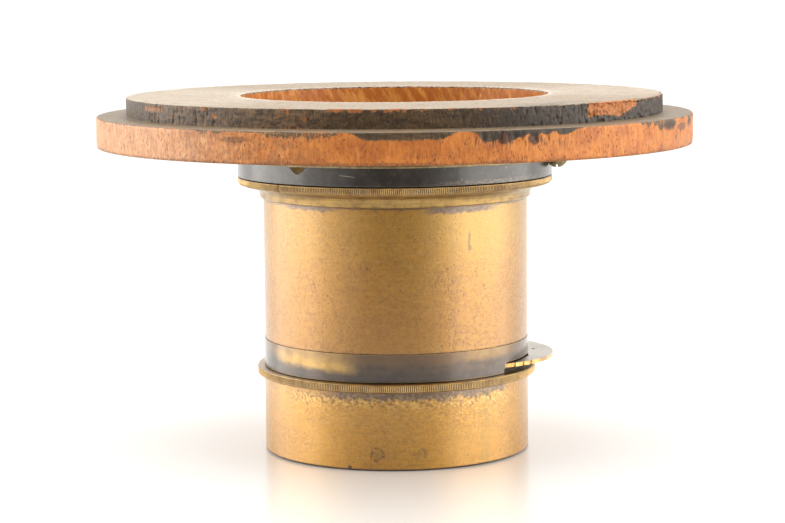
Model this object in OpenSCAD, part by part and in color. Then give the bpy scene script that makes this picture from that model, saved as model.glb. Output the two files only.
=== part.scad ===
// Brass view lens on a round wooden lens board.
// It stands on the front rim of its hood. The optical axis is +Z, the front of
// the lens points down, and the camera side of the board points up.
// All sizes are millimetres.

/* [Lens board] */
// Radius of the board's wide rim
board_r = 101.6; // [96:0.1:106]
// Radius of the raised step that drops into the camera front
board_step_r = 91.4; // [86:0.1:94]
// Thickness of the wide rim
board_rim_t = 10.4; // [8:0.1:14]
// Height of the raised step above the rim
board_step_t = 6.3; // [4:0.1:9]
// Radius of the light opening through the board
board_hole_r = 52.6; // [50:0.1:54]

/* [Flange] */
// Radius of the flange's hub
flange_hub_r = 53.95; // [53:0.05:54.5]
// Radius of the flange's plate, which lies against the board
flange_plate_r = 63.0; // [61.5:0.5:66]
// Height of the hub below the plate
flange_hub_h = 6.75; // [5:0.05:7.5]
// Thickness of the plate
flange_plate_t = 3.9; // [3:0.1:6]
// Radius of the threaded opening in the flange
flange_bore_r = 49.5; // [49.45:0.05:50]
// Distance of the flange screws from the axis
flange_screw_pitch_r = 56.6; // [56.2:0.1:58]

/* [Barrel] */
// Outer radius of the main tube
tube_r = 45.3; // [45.2:0.05:45.35]
// Wall thickness of the main tube
tube_wall = 1.5; // [1.2:0.1:1.8]
// Outer radius of the knurled collar rim
collar_rim_r = 53.9; // [52:0.1:54.2]
// Outer radius of the darkened band that houses the wheel of stops
band_r = 45.6; // [45.4:0.05:46]
// Height of that band
band_h = 9.25; // [8:0.05:11]

/* [Hood] */
// Outer radius of the hood
hood_r = 45.6; // [45.4:0.1:46.4]
// Length of the hood tube
hood_len = 26.2; // [24:0.1:30]
// Outer radius of the knurled ring at the hood's back end
ring_rim_r = 48.0; // [47:0.1:50]
// Thickness of that ring's rim
ring_rim_t = 2.9; // [2.5:0.1:3.5]

/* [Wheel of stops] */
// Radius of the wheel
wheel_r = 32.5; // [31:0.1:33]
// Thickness of the wheel
wheel_t = 1.3; // [1:0.1:1.5]
// Distance of the wheel's pivot from the optical axis
wheel_offset = 22.0; // [21.5:0.1:22.5]
// Direction of the pivot from the axis, in degrees
wheel_dir = 6; // [0:1:10]
// Radius of the largest stop
stop_r = 9.0; // [6:0.1:9.2]
// Number of stops
stop_count = 5; // [4:1:5]
// How far the click spring's nose enters its dimple
click_depth = 0.25; // [0.1:0.05:0.4]

/* [Glass] */
// Radius of the cemented glass
glass_r = 40.0; // [38:0.1:40]
// Radius of curvature of the front, concave face
front_curve = 400; // [300:10:600]
// Radius of curvature of the cemented faces
cement_curve = 279; // [250:1:320]
// Radius of curvature of the rear, convex face
rear_curve = 117.5; // [110:0.5:130]
// Thickness of the flint glass on the axis
flint_t = 3.0; // [2.5:0.1:4]
// Thickness of the crown glass on the axis
crown_t = 12.4; // [11.9:0.1:13]

/* [Hidden] */
$fn = 180;

// running clearance of a threaded or turning fit, and gap between fixed pieces
run = 0.06;
fix = 0.03;

// heights, from the hood's front rim upwards
z_ring = hood_len;                     // underside of the knurled ring's rim
z_ring_top = z_ring + ring_rim_t;      // its top
z_band = z_ring_top + 0.25;            // underside of the band
z_band_top = z_band + band_h;          // top of the band, where the tube starts
z_neck = z_band_top + 48.3;            // lower edge of the collar's neck
z_rim_top = z_neck + 7.4;              // top of the knurled collar rim
z_hub = z_rim_top + 0.25;              // underside of the flange hub
z_plate = z_hub + flange_hub_h;        // underside of the flange plate
z_board = z_plate + flange_plate_t;    // underside of the board
z_step = z_board + board_rim_t;        // ledge of the board
z_top = z_step + board_step_t;         // top of the board
z_tube_end = z_rim_top + 4.2;          // rear end of the tube

// the wheel and its plate
sleeve_r = 42.85;                      // threaded sleeve of the band, outside
bore_r = 41.4;                         // bore of the band
shoulder_r = 37.5;                     // opening of the shoulder behind the plate
wheel_z = z_band + 1.65;               // underside of the wheel
plate_z = wheel_z + wheel_t + 0.75;    // underside of the stop plate
plate_t = 1.6;
shoulder_z = plate_z + plate_t + fix;
wheel_x = wheel_offset * cos(wheel_dir);
wheel_y = wheel_offset * sin(wheel_dir);
// each stop passes half the light of the one before it
stops = [for (i = [0 : stop_count - 1]) stop_r * pow(0.7071, i)];
stop_step = 360 / stop_count;
dimple_r = 26.0;
// the click's nose stands in the dimple next round from the one outside the tube
click_turn = 2 * stop_step;
click_x = wheel_x + dimple_r * cos(wheel_dir + click_turn);
click_y = wheel_y + dimple_r * sin(wheel_dir + click_turn);
click_dir = 92;                        // direction of the leaf spring from its nose
click_len = 17;
plate_screw_dirs = [wheel_dir + 75, wheel_dir + 180, wheel_dir - 75];
plate_screw_r = 39.45;

flange_screw_dirs = [234, 345, 108];
// the first hole's screw is lost, and the second one has worked loose
loose_screw = 1.2;

// glass
function sag(r, c) = c - sqrt(c * c - r * r);
glass_z = z_neck + 0.6;                // front edge of the glass
flint_z = glass_z + sag(glass_r, front_curve);
cement_z = flint_z + flint_t;
crown_z = cement_z + crown_t;
cement_edge_z = cement_z + sag(glass_r, cement_curve);
rear_edge_z = crown_z - sag(glass_r, rear_curve);
cell_in_r = glass_r + 0.1;
cell_r = tube_r - tube_wall - run;

// ---------- shared shapes ----------

// a turned part, from its half section
module turned(points) rotate_extrude($fn = 180) polygon(points);

// slotted round-headed screw, head down, shank up, origin at the seat
module round_head_screw(head_r, head_h, shank_r, shank_l, slot_w, slot_d) {
    ball = (head_r * head_r + head_h * head_h) / (2 * head_h);
    difference() {
        union() {
            intersection() {
                translate([0, 0, ball - head_h]) sphere(r = ball, $fn = 64);
                translate([0, 0, -head_h - 1]) cylinder(r = head_r, h = head_h + 1, $fn = 48);
            }
            cylinder(r = shank_r, h = shank_l * 0.6, $fn = 32);
            translate([0, 0, shank_l * 0.6])
                cylinder(r1 = shank_r, r2 = 0.35, h = shank_l * 0.4, $fn = 32);
        }
        translate([-head_r - 1, -slot_w / 2, -head_h - 1])
            cube([2 * head_r + 2, slot_w, 1 + slot_d]);
    }
}

// slotted cheese-headed screw, head down, shank up, origin at the seat
module cheese_screw(head_r, head_h, shank_r, shank_l, slot_w, slot_d) {
    difference() {
        union() {
            translate([0, 0, -head_h]) cylinder(r = head_r, h = head_h, $fn = 48);
            cylinder(r = shank_r, h = shank_l, $fn = 32);
        }
        translate([-head_r - 1, -slot_w / 2, -head_h - 1])
            cube([2 * head_r + 2, slot_w, 1 + slot_d]);
    }
}

module at_dirs(dirs, r) for (a = dirs) rotate([0, 0, a]) translate([r, 0, 0]) children();

// ---------- board and flange ----------

module lens_board() color("#b5713f") {
    c = 0.9;
    difference() {
        turned([[board_hole_r, z_board], [board_r - 1.0, z_board],
                [board_r - 0.3, z_board + 0.3], [board_r, z_board + 1.0],
                [board_r, z_step - 1.4], [board_r - 0.4, z_step - 0.4],
                [board_r - 1.4, z_step], [board_step_r, z_step],
                [board_step_r, z_top - 0.6], [board_step_r - 0.6, z_top],
                [board_hole_r, z_top]]);
        // pilot holes for the flange screws
        at_dirs(flange_screw_dirs, flange_screw_pitch_r)
            translate([0, 0, z_board - 1]) cylinder(r = 1.75, h = 10, $fn = 32);
    }
}

module flange() color("#3c3834") difference() {
    turned([[flange_bore_r, z_hub], [flange_hub_r - 0.25, z_hub],
            [flange_hub_r, z_hub + 0.25], [flange_hub_r, z_plate],
            [flange_plate_r - 0.5, z_plate], [flange_plate_r, z_plate + 0.5],
            [flange_plate_r, z_board], [flange_bore_r, z_board]]);
    at_dirs(flange_screw_dirs, flange_screw_pitch_r) {
        translate([0, 0, z_plate - 1]) cylinder(r = 1.95, h = flange_plate_t + 2, $fn = 32);
        // tapered cut that lets the screw head past the hub
        translate([0, 0, z_plate - 6]) cylinder(r1 = 0.6, r2 = 4.9, h = 6, $fn = 64);
    }
}

module flange_screws() color("#6f6a45")
    for (k = [1, 2]) rotate([0, 0, flange_screw_dirs[k]])
        translate([flange_screw_pitch_r, 0, z_plate - (k == 1 ? loose_screw : 0)])
            rotate([0, 0, k == 1 ? 105 : 35]) round_head_screw(3.5, 2.8, 1.7, 12.6, 0.9, 1.2);

// ---------- barrel ----------

module rear_collar() color("#b58a4c")
    turned([[tube_r + fix, z_neck], [tube_r + 0.7, z_neck],
            [tube_r + 1.1, z_neck + 0.4], [tube_r + 1.2, z_neck + 1.2],
            [tube_r + 1.35, z_neck + 2.2], [tube_r + 1.9, z_neck + 3.1],
            [tube_r + 3.2, z_neck + 3.8], [collar_rim_r - 1.5, z_neck + 4.5],
            [collar_rim_r - 0.6, z_neck + 4.9], [collar_rim_r, z_neck + 5.6],
            [collar_rim_r, z_rim_top - 0.2], [collar_rim_r - 0.2, z_rim_top],
            [flange_bore_r - run, z_rim_top], [flange_bore_r - run, z_tube_end],
            [tube_r + fix, z_tube_end]]);

module barrel_tube() color("#a97a3e")
    turned([[tube_r - tube_wall, z_band_top + fix], [tube_r, z_band_top + fix],
            [tube_r, z_tube_end], [tube_r - tube_wall, z_tube_end]]);

module stop_band() color("#5a4a3c") difference() {
    turned([[bore_r, z_band - 8.2], [sleeve_r - 0.4, z_band - 8.2],
            [sleeve_r, z_band - 7.8], [sleeve_r, z_band],
            [band_r, z_band], [band_r, z_band_top],
            [tube_r - tube_wall - fix, z_band_top],
            [tube_r - tube_wall - fix, z_band_top + 5.5],
            [tube_r - tube_wall - 1.5, z_band_top + 5.5],
            [tube_r - tube_wall - 1.5, z_band_top],
            [shoulder_r, z_band_top - 1], [shoulder_r, shoulder_z],
            [bore_r, shoulder_z]]);
    // slot that the wheel turns in, through the whole wall, milled with a cutter
    // a little larger than the wheel, so its ends follow the wheel's edge
    translate([wheel_x, wheel_y, wheel_z - 0.5]) cylinder(r = wheel_r + 0.45, h = wheel_t + 1);
    // and the outer skin is open down to the knurled ring
    slot_wedge(sleeve_r, band_r + 2, z_band - 1, wheel_z);
    // screw holes for the stop plate
    at_dirs(plate_screw_dirs, plate_screw_r)
        translate([0, 0, shoulder_z - 1]) cylinder(r = 0.95, h = 3.2, $fn = 24);
}

// sector-shaped cutter around the wheel's direction, a little wider than the slot
module slot_wedge(r_in, r_out, z0, z1) {
    reach = wheel_r + 0.9;
    half = acos((band_r * band_r + wheel_offset * wheel_offset - reach * reach)
                / (2 * band_r * wheel_offset));
    translate([0, 0, z0]) intersection() {
        difference() {
            cylinder(r = r_out, h = z1 - z0);
            translate([0, 0, -1]) cylinder(r = r_in, h = z1 - z0 + 2);
        }
        linear_extrude(z1 - z0) polygon([[0, 0],
            [80 * cos(wheel_dir - half), 80 * sin(wheel_dir - half)],
            [110 * cos(wheel_dir), 110 * sin(wheel_dir)],
            [80 * cos(wheel_dir + half), 80 * sin(wheel_dir + half)]]);
    }
}

module stop_plate() color("#2e2b28") difference() {
    translate([0, 0, plate_z]) cylinder(r = bore_r - 0.1, h = plate_t);
    // opening on the axis, bevelled on the camera side
    translate([0, 0, plate_z - 1]) cylinder(r = stop_r + 1.6, h = plate_t + 2);
    translate([0, 0, plate_z + 0.6]) cylinder(r1 = stop_r + 1.6, r2 = stop_r + 2.7, h = 1.1);
    // seat of the pivot bush
    translate([wheel_x, wheel_y, plate_z - 1]) cylinder(r = 4.0 + fix, h = plate_t + 2, $fn = 48);
    // hole that the click's nose comes through, and its screw hole
    translate([click_x, click_y, plate_z - 1]) cylinder(r = 1.5, h = plate_t + 2, $fn = 32);
    translate([click_x + click_len * cos(click_dir), click_y + click_len * sin(click_dir), plate_z - 1])
        cylinder(r = 1.05, h = plate_t + 2, $fn = 24);
    at_dirs(plate_screw_dirs, plate_screw_r)
        translate([0, 0, plate_z - 1]) cylinder(r = 1.05, h = plate_t + 2, $fn = 24);
}

module stop_plate_screws() color("#9a8a6a")
    at_dirs(plate_screw_dirs, plate_screw_r)
        translate([0, 0, plate_z]) rotate([0, 0, 20]) cheese_screw(1.7, 1.0, 0.9, 3.4, 0.5, 0.5);

// bush riveted in the plate: the pivot screw's thread is in it
module pivot_bush() color("#b58a4c")
    translate([wheel_x, wheel_y, 0]) difference() {
        union() {
            translate([0, 0, plate_z - 0.35]) cylinder(r = 4.0, h = plate_t + 0.35 + fix, $fn = 48);
            translate([0, 0, plate_z + plate_t + fix]) cylinder(r = 5.2, h = 2.4, $fn = 48);
        }
        translate([0, 0, plate_z - 1]) cylinder(r = 1.9 + fix, h = 6, $fn = 32);
    }

// ---------- wheel of stops ----------

module stop_wheel() color("#6b645a")
    translate([wheel_x, wheel_y, wheel_z]) rotate([0, 0, wheel_dir]) difference() {
        cylinder(r = wheel_r, h = wheel_t);
        // pivot hole
        translate([0, 0, -1]) cylinder(r = 2.5 + run, h = wheel_t + 2, $fn = 48);
        // the stops, the one on the axis first
        for (i = [0 : stop_count - 1]) rotate([0, 0, 180 + i * stop_step])
            translate([wheel_offset, 0, -1]) cylinder(r = stops[i], h = wheel_t + 2, $fn = 96);
        // click dimples, drilled through, one opposite each stop
        for (i = [0 : stop_count - 1]) rotate([0, 0, i * stop_step])
            translate([dimple_r, 0, -1]) cylinder(r = 0.7, h = wheel_t + 2, $fn = 24);
        // index notches in the edge: one to five, so a finger can count them
        for (i = [0 : stop_count - 1])
            for (k = [0 : (i + 2) % stop_count])
                rotate([0, 0, -56 - i * stop_step + (k - ((i + 2) % stop_count) / 2) * 6.6])
                    translate([wheel_r, 0, -1]) cylinder(r = 0.45, h = wheel_t + 2, $fn = 20);
    }

module wheel_pivot() color("#a08a5c")
    translate([wheel_x, wheel_y, 0]) difference() {
        union() {
            translate([0, 0, wheel_z - 1.6]) cylinder(r = 3.9, h = 1.0, $fn = 48);
            translate([0, 0, wheel_z - 0.7]) cylinder(r = 2.5, h = plate_z - 0.35 - fix - wheel_z + 0.7, $fn = 48);
            translate([0, 0, plate_z - 1]) cylinder(r = 1.9, h = 4.8, $fn = 32);
        }
        rotate([0, 0, 30]) translate([-5, -0.45, wheel_z - 2]) cube([10, 0.9, 1.0]);
    }

module pivot_washer() color("#8f8a80")
    translate([wheel_x, wheel_y, wheel_z - 0.6 + fix]) difference() {
        cylinder(r = 4.6, h = 0.45, $fn = 48);
        translate([0, 0, -1]) cylinder(r = 2.5 + fix, h = 3, $fn = 48);
    }

// leaf spring behind the plate
module click_spring() color("#7d8087")
    translate([click_x, click_y, plate_z + plate_t + fix]) rotate([0, 0, click_dir]) difference() {
        union() {
            cylinder(r = 2.4, h = 0.4, $fn = 48);
            translate([0, -2.4, 0]) cube([click_len, 4.8, 0.4]);
            translate([click_len, 0, 0]) cylinder(r = 3.2, h = 0.4, $fn = 48);
        }
        translate([0, 0, -1]) cylinder(r = 0.6 + fix, h = 3, $fn = 24);
        translate([click_len, 0, -1]) cylinder(r = 1.05, h = 3, $fn = 24);
    }

// pin riveted to the leaf spring's free end
module click_nose() color("#8f8a80")
    translate([click_x, click_y, 0]) {
        tip = wheel_z + wheel_t - click_depth;
        leaf = plate_z + plate_t + fix;
        translate([0, 0, tip + 0.4]) cylinder(r = 0.9, h = leaf - fix - tip - 0.4, $fn = 32);
        translate([0, 0, tip]) cylinder(r1 = 0.2, r2 = 0.9, h = 0.4, $fn = 32);
        translate([0, 0, leaf - 0.1]) cylinder(r = 0.6, h = 0.7, $fn = 32);
    }

module click_spring_screw() color("#9a8a6a")
    translate([click_x + click_len * cos(click_dir), click_y + click_len * sin(click_dir),
               plate_z + plate_t + 0.4 + 2 * fix])
        rotate([180, 0, 50]) cheese_screw(2.1, 1.2, 1.0, 1.9, 0.5, 0.6);

// ---------- hood ----------

module front_ring() color("#b58a4c")
    turned([[sleeve_r + run, z_ring - 6.4], [hood_r - 1.2 - fix, z_ring - 6.4],
            [hood_r - 1.2 - fix, z_ring], [ring_rim_r - 0.45, z_ring],
            [ring_rim_r, z_ring + 0.45], [ring_rim_r, z_ring_top - 0.3],
            [ring_rim_r - 0.3, z_ring_top], [sleeve_r + run, z_ring_top]]);

module hood_tube() color("#a97a3e")
    turned([[hood_r - 1.2, 0.35], [hood_r - 0.95, 0], [hood_r - 0.45, 0],
            [hood_r, 0.45], [hood_r, z_ring - fix], [hood_r - 1.2, z_ring - fix]]);

// ---------- rear cell and glass ----------

module rear_cell() color("#a27a44") {
    top = z_tube_end + fix;
    turned([[glass_r - 1.8, glass_z - 1.5], [cell_r - 0.4, glass_z - 1.5],
            [cell_r, glass_z - 1.1], [cell_r, top], [tube_r + 1.6, top],
            [tube_r + 1.9, top + 0.3], [tube_r + 1.9, top + 1.7],
            [tube_r + 1.6, top + 2.0], [cell_in_r + 0.6, top + 2.0],
            [cell_in_r + 0.6, rear_edge_z + 0.02], [cell_in_r, rear_edge_z + 0.02],
            [cell_in_r, glass_z], [glass_r - 1.8, glass_z]]);
}

// points of a spherical face, from the axis out to the rim: up for a face whose
// rim lies nearer the camera than its middle, down for one whose rim lies nearer the front
face_steps = 16;
function face_up(z, c) = [for (i = [0 : face_steps]) let (r = glass_r * i / face_steps) [r, z + sag(r, c)]];
function face_down(z, c) = [for (i = [0 : face_steps]) let (r = glass_r * i / face_steps) [r, z - sag(r, c)]];
function backwards(list) = [for (i = [len(list) - 1 : -1 : 0]) list[i]];

// flint: its front face is hollow, so its rim is nearest the front
module flint_glass() color("#cfe0dc", 0.35)
    turned(concat(face_down(flint_z, front_curve), backwards(face_up(cement_z, cement_curve))));

// crown: bulges into the flint in front and towards the camera behind
module crown_glass() color("#d8e6e2", 0.35)
    turned(concat(face_up(cement_z + fix, cement_curve), backwards(face_down(crown_z, rear_curve))));

module retaining_ring() color("#8a6a3c") {
    z0 = rear_edge_z + 0.08;
    // the ring's seat is bevelled to follow the glass
    inner = glass_r - 1.6;
    lift = sag(glass_r, rear_curve) - sag(inner, rear_curve);
    difference() {
        turned([[inner, z0 + lift], [glass_r, z0], [cell_in_r + 0.55, z0],
                [cell_in_r + 0.55, z0 + 3.2], [glass_r - 1.1, z0 + 3.2], [inner, z0 + 2.7]]);
        // two slots for a pin spanner
        translate([-60, -1.2, z0 + 2.2]) cube([120, 2.4, 3]);
    }
}

lens_board();
flange();
flange_screws();
rear_collar();
barrel_tube();
stop_band();
stop_plate();
stop_plate_screws();
pivot_bush();
stop_wheel();
wheel_pivot();
pivot_washer();
click_spring();
click_nose();
click_spring_screw();
front_ring();
hood_tube();
rear_cell();
flint_glass();
crown_glass();
retaining_ring();
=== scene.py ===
import math

import bpy
import numpy as np
from mathutils import Matrix, Vector


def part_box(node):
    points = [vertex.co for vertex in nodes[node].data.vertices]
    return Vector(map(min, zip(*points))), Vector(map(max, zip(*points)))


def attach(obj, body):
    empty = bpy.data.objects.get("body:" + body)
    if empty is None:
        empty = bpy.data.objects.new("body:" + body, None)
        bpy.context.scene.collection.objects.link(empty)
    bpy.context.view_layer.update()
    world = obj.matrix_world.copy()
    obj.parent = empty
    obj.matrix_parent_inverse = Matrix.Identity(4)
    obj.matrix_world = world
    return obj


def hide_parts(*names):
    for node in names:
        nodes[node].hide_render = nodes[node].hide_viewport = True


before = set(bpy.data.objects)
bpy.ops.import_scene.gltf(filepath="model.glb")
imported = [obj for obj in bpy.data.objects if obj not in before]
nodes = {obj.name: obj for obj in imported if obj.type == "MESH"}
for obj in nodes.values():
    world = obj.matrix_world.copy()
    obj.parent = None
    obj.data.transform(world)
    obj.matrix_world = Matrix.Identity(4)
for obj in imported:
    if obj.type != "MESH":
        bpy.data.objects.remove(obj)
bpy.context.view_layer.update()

# The lens stands on its hood's front rim: +Z runs from the front of the lens to
# the camera side of the board. Angles are measured from the side that faces the
# viewer (-Y) towards +X. Lengths in this script are millimetres unless they end in _m.
MM = 0.001
scene = bpy.context.scene


# ------------------------------------------------------------------ sizes from the frame
def rz(node):
    """Radius and height of each vertex of a CAD node, in mm."""
    co = np.array([v.co for v in nodes[node].data.vertices], float) / MM
    return np.hypot(co[:, 0], co[:, 1]), co[:, 2]


def hi_lo(node):
    lo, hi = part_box(node)
    return lo.z / MM, hi.z / MM


z_board, z_top = hi_lo("lens_board")
_r, _z = rz("lens_board")
board_r = float(_r.max())
step_r = float(_r[_z > z_top - 0.9].max())
z_step = float(_z[(_r > step_r - 0.05) & (_r < step_r + 0.05)].min())
hole_r = float(_r.min()) if _r.min() > 45 else 50.9
_r, _z = rz("rear_collar")
z_neck, z_tube_end = hi_lo("rear_collar")
collar_r = float(_r.max())
z_rim_top = float(_z[_r > collar_r - 0.3].max())
thread_r = float(_r[_z > z_tube_end - 0.1].max())
_r, _z = rz("barrel_tube")
tube_r, tube_in = float(_r.max()), float(_r.min())
z_tube0 = hi_lo("barrel_tube")[0]
_r, _z = rz("front_ring")
ring_r, ring_in = float(_r.max()), float(_r.min())
z_skirt, z_ring_top = hi_lo("front_ring")
z_ring = float(_z[_r > ring_r - 0.6].min())
_r, _z = rz("hood_tube")
hood_r, hood_in = float(_r.max()), float(_r.min())
z_hood_top = hi_lo("hood_tube")[1]
z_hub, z_flange_top = hi_lo("flange")
z_band, z_band_end = hi_lo("stop_band")
print("sizes", [round(v, 2) for v in (z_board, z_top, board_r, step_r, z_step, hole_r, z_neck, z_tube_end, collar_r, z_rim_top, thread_r, tube_r, tube_in, z_tube0, ring_r, ring_in, z_skirt, z_ring_top, z_ring, hood_r, hood_in, z_hood_top)])


# ------------------------------------------------------------------ noise for mesh work
def _hash(ix, iy, iz, seed):
    n = (ix * 73856093) ^ (iy * 19349663) ^ (iz * 83492791) ^ (seed * 26544357)
    n = ((n ^ (n >> 13)) * 1274126177) & 0x7FFFFFFF
    n = ((n ^ (n >> 15)) * 668265263) & 0x7FFFFFFF
    return ((n >> 7) & 0xFFFF) / 65535.0


def vnoise(p, seed=0):
    i = np.floor(p).astype(np.int64)
    f = p - i
    u = f * f * (3 - 2 * f)
    out = 0.0
    for dx in (0, 1):
        wx = u[..., 0] if dx else 1 - u[..., 0]
        for dy in (0, 1):
            wy = u[..., 1] if dy else 1 - u[..., 1]
            for dz in (0, 1):
                wz = u[..., 2] if dz else 1 - u[..., 2]
                out = out + wx * wy * wz * _hash(i[..., 0] + dx, i[..., 1] + dy, i[..., 2] + dz, seed)
    return out


def fbm(p, size, octaves=4, seed=0, gain=0.5):
    """Fractal noise from 0 to 1; size is the width of its largest lumps in mm (one number, or one for each axis)."""
    q = p / np.array(size, float)
    total, amp, norm = 0.0, 1.0, 0.0
    for o in range(octaves):
        total = total + amp * vnoise(q * 2.0 ** o + 17.3 * o, seed + o)
        norm += amp
        amp *= gain
    return total / norm


def sstep(x, a, b):
    t = np.clip((x - a) / (b - a), 0, 1)
    return t * t * (3 - 2 * t)


def hump(phi, centre, width):
    d = (phi - centre + 180) % 360 - 180
    return np.exp(-((d / width) ** 2))


def span(phi, a, b, soft=1.5):
    """1 between the angles a and b, falling off over soft degrees."""
    return sstep(phi, a - soft, a + soft) * (1 - sstep(phi, b - soft, b + soft))


# ------------------------------------------------------------------ mesh builders
def outline(points, default=1.0):
    """A closed half section. Each point is (r, z, fillet, step): the corner's rounding, and the spacing of
    vertices on the edge that starts there. Returns the points and the number of the edge that each belongs to."""
    pts = [(p[0], p[1], p[2] if len(p) > 2 else 0.0, p[3] if len(p) > 3 else default) for p in points]
    n = len(pts)
    out, zone = [], []
    cut = []
    for i in range(n):
        b = np.array(pts[i][:2])
        a, c = np.array(pts[i - 1][:2]), np.array(pts[(i + 1) % n][:2])
        la, lc = np.linalg.norm(a - b), np.linalg.norm(c - b)
        t = min(pts[i][2], 0.45 * la, 0.45 * lc)
        cut.append((b + (a - b) / la * t, b, b + (c - b) / lc * t, t))
    for i in range(n):
        s, b, e, t = cut[i]
        if t > 0:
            for k in range(6):
                u = k / 5
                out.append((1 - u) ** 2 * s + 2 * u * (1 - u) * b + u * u * e)
                zone.append(i if u >= 0.5 else (i - 1) % n)
        else:
            out.append(b)
            zone.append(i)
        nxt = cut[(i + 1) % n][0]
        length = np.linalg.norm(nxt - e)
        m = max(1, int(round(length / pts[i][3])))
        for k in range(1, m):
            out.append(e + (nxt - e) * k / m)
            zone.append(i)
    return np.array(out), np.array(zone)


def new_mesh(name, co, quads, mat, attributes=None):
    me = bpy.data.meshes.new(name)
    me.vertices.add(len(co))
    me.vertices.foreach_set("co", np.asarray(co, np.float32).ravel())
    me.loops.add(quads.size)
    me.loops.foreach_set("vertex_index", np.asarray(quads, np.int32).ravel())
    me.polygons.add(len(quads))
    me.polygons.foreach_set("loop_start", np.arange(0, quads.size, quads.shape[1], dtype=np.int32))
    me.update(calc_edges=True)
    me.validate()
    me.polygons.foreach_set("use_smooth", np.ones(len(me.polygons), bool))
    for key, values in (attributes or {}).items():
        me.attributes.new(key, "FLOAT", "POINT").data.foreach_set("value", np.asarray(values, np.float32).ravel())
    me.materials.append(mat)
    o = bpy.data.objects.new(name, me)
    scene.collection.objects.link(o)
    return o


def lathe(name, prof, n, mat, shape=None):
    """Revolves a closed section (counter-clockwise in r, z) about the axis. shape(r, z, phi_deg, p) may return
    dr, dz and a dict of attributes, each in the shape of r."""
    k = len(prof)
    area = 0.5 * np.sum(prof[:, 0] * np.roll(prof[:, 1], -1) - np.roll(prof[:, 0], -1) * prof[:, 1])
    assert area > 0, name
    phi = np.linspace(-180, 180, n, endpoint=False)
    r = np.repeat(prof[:, 0][:, None], n, 1)
    z = np.repeat(prof[:, 1][:, None], n, 1)
    ph = np.repeat(phi[None, :], k, 0)
    attributes = {}
    if shape is not None:
        rad = np.radians(ph)
        p = np.stack([r * np.sin(rad), -r * np.cos(rad), z], -1)
        dr, dz, attributes = shape(r, z, ph, p)
        r, z = r + dr, z + dz
    rad = np.radians(ph)
    co = np.stack([r * np.sin(rad), -r * np.cos(rad), z], -1).reshape(-1, 3) * MM
    i = np.arange(k)[:, None]
    j = np.arange(n)[None, :]
    i2, j2 = (i + 1) % k, (j + 1) % n
    quads = np.stack([i * n + j, i * n + j2, i2 * n + j2, i2 * n + j], -1).reshape(-1, 4)
    return new_mesh(name, co, quads, mat, attributes)


# ------------------------------------------------------------------ material nodes
def lin(r, g, b):
    """A colour given as it looks on screen (0 to 255), as the linear colour that a shader takes."""
    def one(v):
        v = v / 255
        return v / 12.92 if v <= 0.04045 else ((v + 0.055) / 1.055) ** 2.4
    return (one(r), one(g), one(b), 1.0)


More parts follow.
